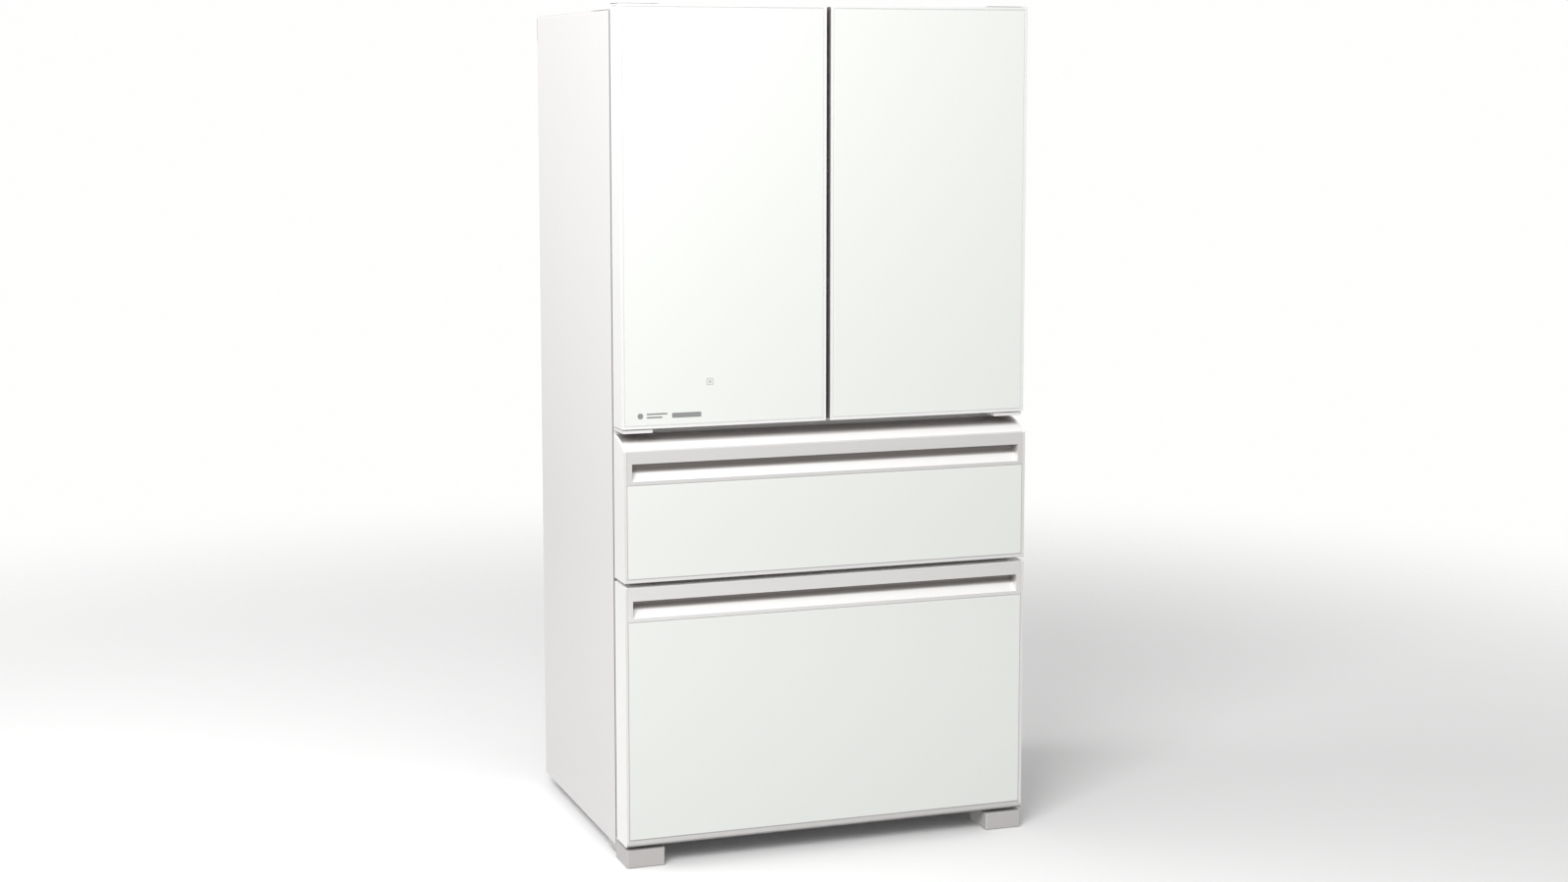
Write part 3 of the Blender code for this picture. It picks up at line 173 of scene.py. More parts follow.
def makeShellPaint(key, colour, roughness):  # cabinet paint, and a copy with painted shade in grey along the flange's outer rim, in the gap behind the doors
    makePaintedSteel(key, colour, roughness)
    shell = Finish(key + "Rim")
    outward = (shell.fromMiddle() - flangeRimShade["from"]) / flangeRimShade["width"]
    outer = shell.ramp(outward, (0, 0), (0.5, 1))
    fine = shell.noise(scale=420, detail=3, roughness=0.55)
    rimShade = shell.mix(fine, flangeRimShade["dark"], flangeRimShade["light"])
    shell.set(Base_Color=shell.mix(outer, colour, rimShade), Roughness=roughness + fine * 0.1)


def makePlastic(key, colour, roughness, grain=1.0, coat=0.0):
    plastic = Finish(key)
    broad = plastic.noise(scale=7, detail=2)
    fine = plastic.noise(scale=1500, detail=3, roughness=0.6)
    plastic.set(Base_Color=plastic.vary(broad * 0.7 + fine * 0.3, colour, 0.97, 1.025),
                Roughness=roughness + (fine - 0.5) * 0.12,
                Coat_Weight=coat, Coat_Roughness=0.12)
    plastic.bump(fine, distance=0.00003 * grain, strength=0.6)


def makeGlassPane(key, colour):
    glass = Finish(key)
    cloud = glass.noise(scale=1.1, detail=1)
    pearl = glass.noise(scale=3200, detail=1)
    wave = glass.noise(scale=5.5, detail=1)
    glass.set(Base_Color=glass.vary(cloud * 0.75 + pearl * 0.25, colour, 0.985, 1.012),
              Roughness=0.045 + pearl * 0.02,
              IOR=1.5, Coat_Weight=0.5, Coat_Roughness=0.02)
    glass.bump(wave, distance=0.00012, strength=0.25)


def makeBrushedMetal(key, colour, roughness, stretch=(3, 900, 900), metallic=1.0):
    metal = Finish(key)
    streaks = metal.streaks(stretch)
    broad = metal.noise(scale=4, detail=2)
    metal.set(Base_Color=metal.vary(streaks * 0.6 + broad * 0.4, colour, 0.94, 1.04),
              Metallic=metallic,
              Roughness=roughness + (streaks - 0.5) * 0.14)
    metal.bump(streaks, distance=0.00003, strength=0.6)
    return metal


def makeTrimMetal(key, spec):  # anodised trim with painted light: a pale, non-metallic scoop and nose as a painted highlight, a dark pocket as painted shade, and a dark rear shelf as painted shade and painted reflection of the door's underside
    metal = makeBrushedMetal(key, spec["colour"], spec["roughness"], spec["stretch"])
    height = (metal.axis("Z") - spec["scoop"]) / spec["height"]
    inward = (metal.axis("Y") - spec["front"]) / spec["depth"]
    inside = metal.ramp(inward, (0.0, 0), (0.03, 1))
    deep = metal.ramp(inward, (0.20, 0), (0.50, 1))
    under = metal.ramp((spec["roof"] - metal.axis("Z")) / spec["height"], (0.0, 0), (0.04, 1))
    upper = metal.ramp(height, (0.40, 0), (0.52, 0.80), (0.68, 0.93), (0.95, 1))
    ends = metal.ramp((metal.fromMiddle() - spec["end"]) / mm, (0, 0), (0.4, 1)) * inside
    rise = (metal.axis("Z") - spec["crest"]) / spec["rise"]
    nose = metal.ramp(rise, (0.0, 0), (0.06, 1), (0.44, 1), (0.66, 0))
    shelfShade = metal.ramp(rise, (0.46, 0), (0.70, 0.82), (1, 0.92))
    # pale marks the painted highlight on scoop and nose; dark marks the painted shade in the pocket
    # and the painted shade and reflection on the rear shelf
    paleHighlight = inside * (1 - upper) * under * (1 - ends) + nose
    dark = deep * upper * under * (1 - ends * 0.5) + shelfShade
    plain = metal.vary(metal.streaks(spec["stretch"]), spec["colour"], 0.96, 1.03)
    metal.set(Base_Color=metal.mix(dark, metal.mix(paleHighlight, plain, spec["paleHighlight"]), spec["pocket"]),
              Metallic=spec["metallic"] * (1 - paleHighlight))


def makeSillMetal(key, colour, low, height):  # the lower edge, with painted shade darkening it towards its rounded underside
    stretch = (3, 900, 900)
    sill = makeBrushedMetal(key, colour, 0.34, stretch, metallic=0.5)
    above = sill.ramp((sill.axis("Z") - low) / height, (0.1, 0), (0.6, 1))
    plain = sill.vary(sill.streaks(stretch), colour, 0.96, 1.03)
    sill.set(Base_Color=sill.mix(above, shade(colour, 0.55), plain))


def makeZinc(key, colour, roughness):
    zinc = Finish(key)
    spangle = zinc.node("TexVoronoi", {}, {"Vector": zinc.place, "Scale": 95}, "Color")
    grey = zinc.node("RGBToBW", {}, {0: spangle})
    scratch = zinc.noise(scale=1, detail=3, roughness=0.6, stretch=(500, 500, 6))
    zinc.set(Base_Color=zinc.vary(grey * 0.6 + scratch * 0.4, colour, 0.86, 1.12),
             Metallic=0.85,
             Roughness=roughness + (grey - 0.5) * 0.16)
    zinc.bump(grey * 0.5 + scratch, distance=0.00003, strength=0.5)


def makeRubber(key, colour):
    rubber = Finish(key)
    fine = rubber.noise(scale=2400, detail=3, roughness=0.6)
    broad = rubber.noise(scale=12, detail=2)
    rubber.set(Base_Color=rubber.vary(broad * 0.6 + fine * 0.4, colour, 0.92, 1.06),
               Roughness=0.62 + (fine - 0.5) * 0.2,
               Specular_IOR_Level=0.3)
    rubber.bump(fine, distance=0.00006, strength=0.7)


def makeClear(key, colour, roughness, solid, ior=1.49):
    clear = Finish(key)
    haze = clear.noise(scale=60, detail=3, roughness=0.6)
    tint = clear.noise(scale=3, detail=2)
    clear.set(Base_Color=clear.vary(tint, colour, 0.97, 1.02),
              Roughness=roughness + haze * 0.06,
              IOR=ior, Transmission_Weight=1 - solid)
    clear.bump(haze, distance=0.00004, strength=0.3)


def makeGlow(key, colour, strength):  # a diffuser with lamps behind it
    glow = Finish(key)
    haze = glow.noise(scale=40, detail=3, roughness=0.6)
    glow.set(Base_Color=glow.mix(haze, shade(colour, 0.95), colour),
             Roughness=0.35 + haze * 0.1,
             Emission_Color=glow.mix(haze, (0.93, 0.95, 1.0), (1.0, 1.0, 1.0)),
             Emission_Strength=strength)


def makeFoam(key, colour):
    foam = Finish(key)
    cells = foam.node("TexVoronoi", {}, {"Vector": foam.place, "Scale": 700}, "Distance")
    broad = foam.noise(scale=18, detail=3)
    foam.set(Base_Color=foam.vary(cells * 0.5 + broad * 0.5, colour, 0.85, 1.06),
             Roughness=0.8 + broad * 0.15)
    foam.bump(cells, distance=0.0004, strength=0.8)


def makeFins(key, colour):
    fins = makeBrushedMetal(key, colour, 0.32, stretch=(60, 60, 900), metallic=0.95)
    rows = fins.node("TexWave", {"bands_direction": "X", "wave_profile": "SAW"},
                     {"Vector": fins.place, "Scale": 62, "Distortion": 0.0}, "Fac")
    fins.set(Base_Color=fins.mix(rows, shade(colour, 0.72), colour))


# the slot in a drawer's trim: each trim adds the heights of its scoop, roof and crest
# its pale colour is a painted highlight and its pocket colour a painted shade
trimSpec = {"colour": (0.89, 0.875, 0.865), "paleHighlight": (0.96, 0.955, 0.95),
            "pocket": (0.27, 0.247, 0.236), "roughness": 0.24, "stretch": (3, 900, 900),
            "metallic": 0.45, "front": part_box("middle_drawer_handle")[0].y, "depth": 28.5 * mm,
            "height": 37 * mm, "end": 0.4373, "rise": 26 * mm}

makeShellPaint("cabinetPaint", (0.83, 0.815, 0.81), roughness=0.42)
makePaintedSteel("whitePaint", (0.86, 0.855, 0.85), roughness=0.40)
makePaintedSteel("blackPaint", (0.022, 0.022, 0.024), roughness=0.34, peel=2.0)
makePlastic("edgeLacquer", (0.955, 0.952, 0.948), roughness=0.30, grain=0.6, coat=0.25)
makePlastic("coverPlastic", (0.88, 0.875, 0.87), roughness=0.40)
makePlastic("linerPlastic", (0.89, 0.895, 0.895), roughness=0.22, grain=0.5, coat=0.2)
makePlastic("panelPlastic", (0.88, 0.885, 0.885), roughness=0.28, grain=0.6)
makePlastic("footPlastic", (0.58, 0.563, 0.553), roughness=0.48, grain=1.6)
makePlastic("darkPlastic", (0.035, 0.035, 0.038), roughness=0.48, grain=2.0)
makePlastic("markGrey", (0.30, 0.30, 0.305), roughness=0.35)
makePlastic("iconGrey", (0.56, 0.565, 0.565), roughness=0.35)
makeGlassPane("whiteGlass", (0.895, 0.915, 0.885))
makeTrimMetal("middleTrimMetal", {**trimSpec, "scoop": 0.825, "roof": 0.8725, "crest": 0.889})
makeTrimMetal("lowerTrimMetal", {**trimSpec, "scoop": 0.536, "roof": 0.5835, "crest": 0.603})
makeSillMetal("sillMetal", (0.66, 0.65, 0.64), low=0.044, height=13 * mm)
makeBrushedMetal("frameSilver", (0.86, 0.85, 0.845), 0.30, stretch=(900, 900, 3), metallic=0.2)
makeBrushedMetal("frameWhite", (0.93, 0.93, 0.925), 0.32, stretch=(900, 900, 3), metallic=0.05)
makeBrushedMetal("brightSteel", (0.62, 0.62, 0.63), roughness=0.28, stretch=(300, 300, 300))
makeBrushedMetal("copperPipe", (0.72, 0.40, 0.26), roughness=0.30, stretch=(200, 200, 200))
makeZinc("zincSteel", (0.62, 0.62, 0.63), roughness=0.38)
makeRubber("doorSeal", (0.34, 0.335, 0.33))
makeRubber("blackRubber", (0.03, 0.03, 0.032))
# the split strips' dark grey, painted shade for the gap between the doors
makeRubber("splitShade", (0.27, 0.245, 0.24))
# the drawer panes' grey border, painted shade for the gap between pane and frame
makeRubber("paneGapShade", (0.60, 0.595, 0.59))
makeRubber("palePaneSeal", (0.88, 0.885, 0.88))
makeGlow("lampCover", (0.95, 0.95, 0.94), strength=9.0)
makeClear("clearPlastic", (0.93, 0.96, 0.97), roughness=0.10, solid=0.12)
makeClear("frostedPlastic", (0.93, 0.95, 0.96), roughness=0.42, solid=0.35)
makeClear("clearGlass", (0.90, 0.965, 0.94), roughness=0.01, solid=0.0, ior=1.52)
makeFoam("foam", (0.84, 0.77, 0.58))
makeFins("finMetal", (0.80, 0.80, 0.81))
print("finishes made,", len(finishes))


def pick(thing):
    bpy.ops.object.select_all(action="DESELECT")
    thing.select_set(True)
    bpy.context.view_layer.objects.active = thing


def takeNew(name):
    thing = bpy.context.object
    thing.name = name
    thing.data.name = name
    bpy.ops.object.transform_apply(location=True, rotation=True, scale=True)
    return thing


def addBlock(name, low, high):
    low, high = Vector(low), Vector(high)
    size = [abs(high[i] - low[i]) for i in range(3)]
    bpy.ops.object.select_all(action="DESELECT")
    bpy.ops.mesh.primitive_cube_add(size=1, location=(low + high) / 2)
    bpy.context.object.scale = size
    return takeNew(name)


def addRod(name, centre, axis, radius, length, sides):
    turn = {"Y": (math.pi / 2, 0, 0), "Z": (0, 0, 0)}[axis]
    bpy.ops.object.select_all(action="DESELECT")
    bpy.ops.mesh.primitive_cylinder_add(vertices=sides, radius=radius, depth=length,
                                        location=centre, rotation=turn)
    return takeNew(name)


def addRing(name, low, high, wall, axis="Y"):  # a block with a window through it
    across = "XYZ".index(axis)
    thing = addBlock(name, low, high)
    editFaces(thing, lambda centre, normal: abs(normal[across]) > 0.9)
    bpy.ops.mesh.inset(thickness=wall)
    bpy.ops.mesh.bridge_edge_loops()
    leaveEdit()
    return thing


pipeMesh = {"bend": 4, "round": 3, "smoothAngle": math.radians(50)}


def addPipe(name, points, radius):  # a bent tube that follows the points
    line = bpy.data.curves.new(name, "CURVE")
    line.dimensions = "3D"
    line.bevel_depth = radius
    line.bevel_resolution = pipeMesh["round"]
    line.use_fill_caps = True
    line.resolution_u = pipeMesh["bend"]
    spline = line.splines.new("NURBS")
    spline.points.add(len(points) - 1)
    for spot, point in zip(spline.points, points):
        spot.co = (*point, 1)
    spline.order_u = 3
    spline.use_endpoint_u = True
    thing = bpy.data.objects.new(name, line)
    scene.collection.objects.link(thing)
    pick(thing)
    bpy.ops.object.convert(target="MESH")
    thing = bpy.context.object
    bpy.ops.object.shade_smooth_by_angle(angle=pipeMesh["smoothAngle"])
    thing.data.name = name
    return thing


def snake(left, right, y, low, rise, passes, bend):  # a coil that runs to and fro as it climbs
    points = []
    for step in range(passes):
        z = low + step * rise
        first, last = (left, right) if step % 2 == 0 else (right, left)
        inward = bend if first < last else -bend
        points += [(first, y, z), (first + inward, y, z), (last - inward, y, z), (last, y, z)]
    return points


def editFaces(thing, test):  # enters edit mode with the faces that pass selected
    pick(thing)
    bpy.ops.object.mode_set(mode="EDIT")
    bpy.ops.mesh.select_mode(type="FACE")
    bpy.ops.mesh.select_all(action="DESELECT")
    bpy.ops.object.mode_set(mode="OBJECT")
    for face in thing.data.polygons:
        face.select = test(face.center, face.normal)
    bpy.ops.object.mode_set(mode="EDIT")


def editEdges(thing, test):  # enters edit mode with the edges that pass selected
    pick(thing)
    bpy.ops.object.mode_set(mode="EDIT")
    bpy.ops.mesh.select_mode(type="EDGE")
    bpy.ops.mesh.select_all(action="DESELECT")
    bpy.ops.object.mode_set(mode="OBJECT")
    verts = thing.data.vertices
    for edge in thing.data.edges:
        edge.select = test(verts[edge.vertices[0]].co, verts[edge.vertices[1]].co)
    bpy.ops.object.mode_set(mode="EDIT")


def leaveEdit():
    bpy.ops.object.mode_set(mode="OBJECT")


def sink(thing, test, border, wall, depth):  # presses a panel into the faces that pass
    editFaces(thing, test)
    bpy.ops.mesh.inset(thickness=border)
    bpy.ops.mesh.inset(thickness=wall, depth=-depth)
    leaveEdit()


def paintFaces(thing, finish, test):  # gives the faces that pass a finish of their own
    thing.data.materials.append(finishes[finish])
    editFaces(thing, test)
    thing.active_material_index = len(thing.data.materials) - 1
    bpy.ops.object.material_slot_assign()
    leaveEdit()


def modify(thing, kind, **settings):
    pick(thing)
    modifier = thing.modifiers.new(kind, kind)
    for key, value in settings.items():
        setattr(modifier, key, value)
    bpy.ops.object.modifier_apply(modifier=modifier.name)


sharpAngle = math.radians(38)


def soften(thing, width, segments=2):  # rounds the sharp edges and shades the rest smooth
    if width:
        modify(thing, "BEVEL", width=width, segments=segments, limit_method="ANGLE",
               angle_limit=sharpAngle, miter_outer="MITER_ARC")
    pick(thing)
    bpy.ops.object.shade_smooth_by_angle(angle=sharpAngle)
    modify(thing, "WEIGHTED_NORMAL", keep_sharp=True, weight=100)


def copyPart(name, part):  # a merged copy of a CAD part, ready to be refined
    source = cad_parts[part]
    thing = bpy.data.objects.new(name, source.data.copy())
    scene.collection.objects.link(thing)
    thing.data.name = name
    pick(thing)
    bpy.ops.mesh.customdata_custom_splitnormals_clear()
    bpy.ops.object.mode_set(mode="EDIT")
    bpy.ops.mesh.select_all(action="SELECT")
    bpy.ops.mesh.remove_doubles(threshold=0.00001)
    bpy.ops.mesh.tris_convert_to_quads(face_threshold=math.radians(1),
                                       shape_threshold=math.radians(180))
    leaveEdit()
    return thing


def settle(thing, body, finish, parts=()):  # parts: the CAD parts that it stands for
    thing.data.materials.clear()
    thing.data.materials.append(finishes[finish])
    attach(thing, body)
    if parts:
        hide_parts(*parts)


def refine(name, part, body, finish, width):
    thing = copyPart(name, part)
    soften(thing, width)
    settle(thing, body, finish, [part])


def join(name, things):
    pick(things[0])
    for thing in things:
        thing.select_set(True)
    bpy.ops.object.join()
    things[0].name = name
    things[0].data.name = name
    return things[0]


# cabinet pieces: CAD part, slot, finish, rounding in mm
cabinetParts = {
    "cabinetShell": ("cabinet_wrap", "white_steel", "cabinetPaint", 0.3),
    "backPanel": ("back_panel", "zinc_steel", "zincSteel", 0.15),
    "basePlate": ("base_plate", "zinc_steel", "zincSteel", 0.6),
    "fridgeLiner": ("fridge_liner", "liner_plastic", "linerPlastic", 0.9),
    "drawerLiner": ("drawer_liner", "liner_plastic", "linerPlastic", 0.9),
    "upperCrossbar": ("upper_crossbar", "white_steel", "whitePaint", 0.5),
    "drawerPartition": ("drawer_partition", "insulated_panel", "panelPlastic", 1.5),
    "topHingeLeft": ("top_hinge_left", "zinc_steel", "zincSteel", 0.3),
    "topHingeRight": ("top_hinge_right", "zinc_steel", "zincSteel", 0.3),
    "hingeCoverLeft": ("hinge_cover_left", "white_plastic", "coverPlastic", 1.0),
    "hingeCoverRight": ("hinge_cover_right", "white_plastic", "coverPlastic", 1.0),
    "centreHingeLeft": ("centre_hinge_left", "white_steel", "whitePaint", 0.7),
    "centreHingeRight": ("centre_hinge_right", "white_steel", "whitePaint", 0.7),
    "machineCover": ("machine_room_cover", "zinc_steel", "zincSteel", 0.3),
    "powerGland": ("power_gland", "dark_plastic", "darkPlastic", 0.4),
    "airDuct": ("air_duct", "liner_plastic", "linerPlastic", 1.0),
    "ceilingLight": ("ceiling_light", "clear_plastic", "lampCover", 0.0),
    "mullionGuide": ("mullion_guide", "white_plastic", "coverPlastic", 0.8),
    "evaporator": ("evaporator", "aluminium_trim", "finMetal", 0.2),
    "compressor": ("compressor", "black_steel", "blackPaint", 0.8),
    "footCoverLeft": ("foot_cover_left", "grey_plastic", "footPlastic", 0.8),
    "footCoverRight": ("foot_cover_right", "grey_plastic", "footPlastic", 0.8),
}
for name, (part, slot, finish, width) in cabinetParts.items():
    refine(name, part, "cabinet", finish, width * mm)
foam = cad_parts["cabinet_foam"]
foam.data.materials.clear()
foam.data.materials.append(finishes["foam"])
print("cabinet refined")

# front pieces: CAD part, slot, finish, rounding in mm
frontParts = {
    "leftDoorFrame": ("left_door_frame", "white_plastic", "edgeLacquer", 0.5),
    "rightDoorFrame": ("right_door_frame", "white_plastic", "edgeLacquer", 0.5),
    "leftDoorLiner": ("left_door_liner", "insulated_panel", "panelPlastic", 2.0),
    "rightDoorLiner": ("right_door_liner", "insulated_panel", "panelPlastic", 2.0),
    "mullion": ("mullion", "white_plastic", "coverPlastic", 0.5),
    "middleDrawerFrame": ("middle_drawer_frame", "white_plastic", "edgeLacquer", 0.4),
    "middleDrawerTrim": ("middle_drawer_handle", "aluminium_trim", "middleTrimMetal", 0.4),
    "middleDrawerPanel": ("middle_drawer_liner", "insulated_panel", "panelPlastic", 1.5),
    "middleDrawerCarrier": ("middle_drawer_carrier", "zinc_steel", "zincSteel", 0.8),
    "lowerDrawerFrame": ("lower_drawer_frame", "white_plastic", "edgeLacquer", 0.4),
    "lowerDrawerTrim": ("lower_drawer_handle", "aluminium_trim", "lowerTrimMetal", 0.4),
    "lowerDrawerPanel": ("lower_drawer_liner", "insulated_panel", "panelPlastic", 1.5),
    "lowerDrawerCarrier": ("lower_drawer_carrier", "zinc_steel", "zincSteel", 0.8),
}
for name, (part, slot, finish, width) in frontParts.items():
    body = part.rsplit("_", 1)[0]  # a front's CAD part starts with its body's name
    refine(name, part, body, finish, width * mm)

sealShape = {"width": 18 * mm, "lip": 4 * mm, "wall": 1 * mm, "groove": 2.2 * mm, "round": 1.6 * mm}
seals = {
    "leftDoorSeal": ("left_door_gasket", "left_door"),
    "rightDoorSeal": ("right_door_gasket", "right_door"),
    "middleDrawerSeal": ("middle_drawer_gasket", "middle_drawer"),
    "lowerDrawerSeal": ("lower_drawer_gasket", "lower_drawer"),
}
for name, (part, body) in seals.items():
    seal = addRing(name, *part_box(part), sealShape["width"])
    sink(seal, lambda centre, normal: normal.y > 0.9,
         sealShape["lip"], sealShape["wall"], sealShape["groove"])
    soften(seal, sealShape["round"], 3)
    settle(seal, body, "doorSeal", [part])

# the base plate's two front blocks, in the grey of the foot covers
footBlocks = {"top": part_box("cabinet_wrap")[0].z - 0.1 * mm, "back": -0.18, "inner": 0.38}
paintFaces(bpy.data.objects["basePlate"], "footPlastic",
           lambda centre, normal: centre.z < footBlocks["top"] and centre.y < footBlocks["back"]
           and abs(centre.x) > footBlocks["inner"])

rimDepth = 1.5 * mm
shell = bpy.data.objects["cabinetShell"]
flangeFront = min(vert.co.y for vert in shell.data.vertices)
# the flange's front face takes the rim finish, with its painted shade along the outer rim
paintFaces(shell, "cabinetPaintRim",
           lambda centre, normal: normal.y < -0.5 and centre.y < flangeFront + rimDepth)

edgingDepth = 1.0 * mm
for name, finish in (("leftDoorFrame", "frameWhite"), ("rightDoorFrame", "frameWhite"),
                     ("middleDrawerFrame", "frameSilver"), ("lowerDrawerFrame", "frameSilver")):
    edging = bpy.data.objects[name]
    front = min(vert.co.y for vert in edging.data.vertices)
    paintFaces(edging, finish,
               lambda centre, normal: normal.y < -0.6 and centre.y < front + edgingDepth)

sillHeight = 15.6 * mm
sill = bpy.data.objects["lowerDrawerFrame"]
sillTop = min(vert.co.z for vert in sill.data.vertices) + sillHeight
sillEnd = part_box("lower_drawer_glass")[1].x
paintFaces(sill, "sillMetal", lambda centre, normal: centre.z < sillTop and abs(centre.x) < sillEnd)

# the drawer panes' border takes a grey painted shade for the gap to the frame; the door panes'
# border stays pale
panes = {
    "leftDoor": ("left_door_glass", "left_door", "palePaneSeal"),
    "rightDoor": ("right_door_glass", "right_door", "palePaneSeal"),
    "middleDrawer": ("middle_drawer_glass", "middle_drawer", "paneGapShade"),
    "lowerDrawer": ("lower_drawer_glass", "lower_drawer", "paneGapShade"),
}
paneShape = {"seal": 1.3 * mm, "round": 0.8 * mm, "proud": 0.2 * mm, "sealRound": 0.3 * mm,
             "overlap": 0.1 * mm}
for name, (part, body, sealFinish) in panes.items():
    low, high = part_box(part)
    edge = paneShape["seal"]
    pane = addBlock(name + "Glass", low + Vector((edge, 0, edge)), high - Vector((edge, 0, edge)))
    soften(pane, paneShape["round"], 3)
    settle(pane, body, "whiteGlass", [part])
    border = addRing(name + "PaneSeal", low + Vector((0, paneShape["proud"], 0)), high,
                     edge - paneShape["overlap"])
    soften(border, paneShape["sealRound"])
    settle(border, body, sealFinish)

# dark strips on each door's split side, painted shade that darkens the gap between the doors
splitShadeStrip = {"thickness": 0.5 * mm, "end": 3 * mm, "front": 3 * mm, "depth": 28 * mm,
              "border": 9 * mm, "wall": 1 * mm, "groove": 0.3 * mm, "round": 0.15 * mm}
for side, way in (("left", 1), ("right", -1)):
    low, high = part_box(side + "_door_frame")
    face = high.x if way > 0 else low.x
    front = low.y + splitShadeStrip["front"]
    strip = addBlock(side + "SplitStrip", (face, front, low.z + splitShadeStrip["end"]),
                     (face + way * splitShadeStrip["thickness"], front + splitShadeStrip["depth"],
                      high.z - splitShadeStrip["end"]))
    sink(strip, lambda centre, normal: normal.x * way > 0.9,
         splitShadeStrip["border"], splitShadeStrip["wall"], splitShadeStrip["groove"])
    soften(strip, splitShadeStrip["round"])
    settle(strip, side + "_door", "splitShade")
print("fronts refined")

# touch icon, a square with a dot in it, on the left door
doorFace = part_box("left_door_glass")[0].y
icon = {"x": -0.264, "z": 1.027, "size": 14.5 * mm, "line": 1.6 * mm, "dot": 6.0 * mm,
        "thick": 0.25 * mm, "round": 0.1 * mm}


def iconCorners(size):
    return [(icon["x"] + way * size / 2, doorFace + way * icon["thick"], icon["z"] + way * size / 2)
            for way in (-1, 1)]


square = addRing("touchIcon", *iconCorners(icon["size"]), icon["line"])
dot = addBlock("touchDot", *iconCorners(icon["dot"]))
soften(join("touchIcon", [square, dot]), icon["round"])
settle(square, "left_door", "iconGrey")

# plain marks below it: left, right, bottom, top and corner radius
markShape = {"thick": 0.25 * mm, "round": 0.08 * mm, "cornerSteps": 6}
marks = {
    "plainBadge": (-0.3469, -0.2834, 0.9540, 0.9645, 1.6 * mm),
    "plainBarUpper": (-0.4020, -0.3570, 0.9618, 0.9652, 1.5 * mm),
    "plainBarLower": (-0.4020, -0.3680, 0.9548, 0.9582, 1.5 * mm),
    "plainDot": (-0.4215, -0.4095, 0.9540, 0.9660, 5.5 * mm),
}
for name, (left, right, bottom, top, corner) in marks.items():
    bar = addBlock(name, (left, doorFace - markShape["thick"], bottom),
                   (right, doorFace + markShape["thick"], top))
    editEdges(bar, lambda a, b: abs(a.y - b.y) > 0.1 * mm)
    bpy.ops.mesh.bevel(offset=corner, segments=markShape["cornerSteps"])
    leaveEdit()
    soften(bar, markShape["round"])
    settle(bar, "left_door", "markGrey")
print("marks set")


# bins, trays and drawers: CAD part and body
binRound = 0.9 * mm
clearParts = {
    "leftBinUpper": ("left_bin_upper", "left_door"),
    "leftBinLower": ("left_bin_lower", "left_door"),
    "rightBinUpper": ("right_bin_upper", "right_door"),
    "rightBinLower": ("right_bin_lower", "right_door"),
    "middleDrawerBin": ("middle_drawer_bin", "middle_drawer"),
    "lowerDrawerBin": ("lower_drawer_bin", "lower_drawer"),
    "lowerDrawerTray": ("lower_drawer_tray", "lower_tray"),
    "chillerDrawer": ("chiller_drawer", "chiller"),
}
for name, (part, body) in clearParts.items():
    refine(name, part, body, "clearPlastic", binRound)

shelfShape = {"glass": 6 * mm, "glassRound": 0.8 * mm, "glassFront": 2 * mm}
shelfTrim = {"depth": 13 * mm, "round": 2.5 * mm, "proud": 0.6 * mm, "drop": 1.2 * mm,
             "border": 3 * mm, "groove": 1.2 * mm}
shelfStop = {"depth": 10 * mm, "height": 8 * mm, "end": 5 * mm, "round": 1.5 * mm, "sunk": 0.1 * mm}
for name, part in (("shelfUpper", "shelf_upper"), ("shelfMiddle", "shelf_middle"),
                   ("chillerCover", "chiller_cover")):
    low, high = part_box(part)
    plateTop = low.z + shelfShape["glass"]
    plate = addBlock(name, (low.x, low.y + shelfShape["glassFront"], low.z),
                     (high.x, high.y, plateTop))
    soften(plate, shelfShape["glassRound"], 3)
    settle(plate, "cabinet", "clearGlass", [part])
    edging = addBlock(name + "Trim", (low.x, low.y - shelfTrim["proud"], low.z - shelfTrim["drop"]),
                      (high.x, low.y + shelfTrim["depth"], high.z))
    editFaces(edging, lambda centre, normal: normal.z > 0.9)
    bpy.ops.mesh.inset(thickness=shelfTrim["border"], depth=-shelfTrim["groove"])
    leaveEdit()
    soften(edging, shelfTrim["round"], 3)
    settle(edging, "cabinet", "coverPlastic")
    stop = addBlock(name + "Stop",
                    (low.x + shelfStop["end"], high.y - shelfStop["depth"],
                     plateTop - shelfStop["sunk"]),
                    (high.x - shelfStop["end"], high.y, plateTop + shelfStop["height"]))
    soften(stop, shelfStop["round"], 3)
    settle(stop, "cabinet", "coverPlastic")

# a rolled rim round the open top of each bin: CAD part, body, width, height
rimRound = 1.2 * mm
rims = {
    "leftBinUpperRim": ("left_bin_upper", "left_door", 4.5 * mm, 14 * mm),
    "leftBinLowerRim": ("left_bin_lower", "left_door", 4.5 * mm, 14 * mm),
    "rightBinUpperRim": ("right_bin_upper", "right_door", 4.5 * mm, 14 * mm),
    "rightBinLowerRim": ("right_bin_lower", "right_door", 4.5 * mm, 14 * mm),
    "lowerDrawerTrayRim": ("lower_drawer_tray", "lower_tray", 4.0 * mm, 8 * mm),
}
for name, (part, body, width, height) in rims.items():
    low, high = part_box(part)
    rim = addRing(name, (low.x, low.y, high.z - height), high, width, "Z")
    soften(rim, rimRound, 3)
    settle(rim, body, "frostedPlastic")
print("inside refined")


screwHead = {"radius": 3.8 * mm, "height": 1.6 * mm, "sides": 14, "sunk": 0.1 * mm,
             "round": 0.7 * mm, "border": 1.2 * mm, "wall": 0.2 * mm, "recess": 0.7 * mm}
screwPlaces = {"inset": 12 * mm, "inner": 0.15, "rows": 7, "panelRecess": 3 * mm}


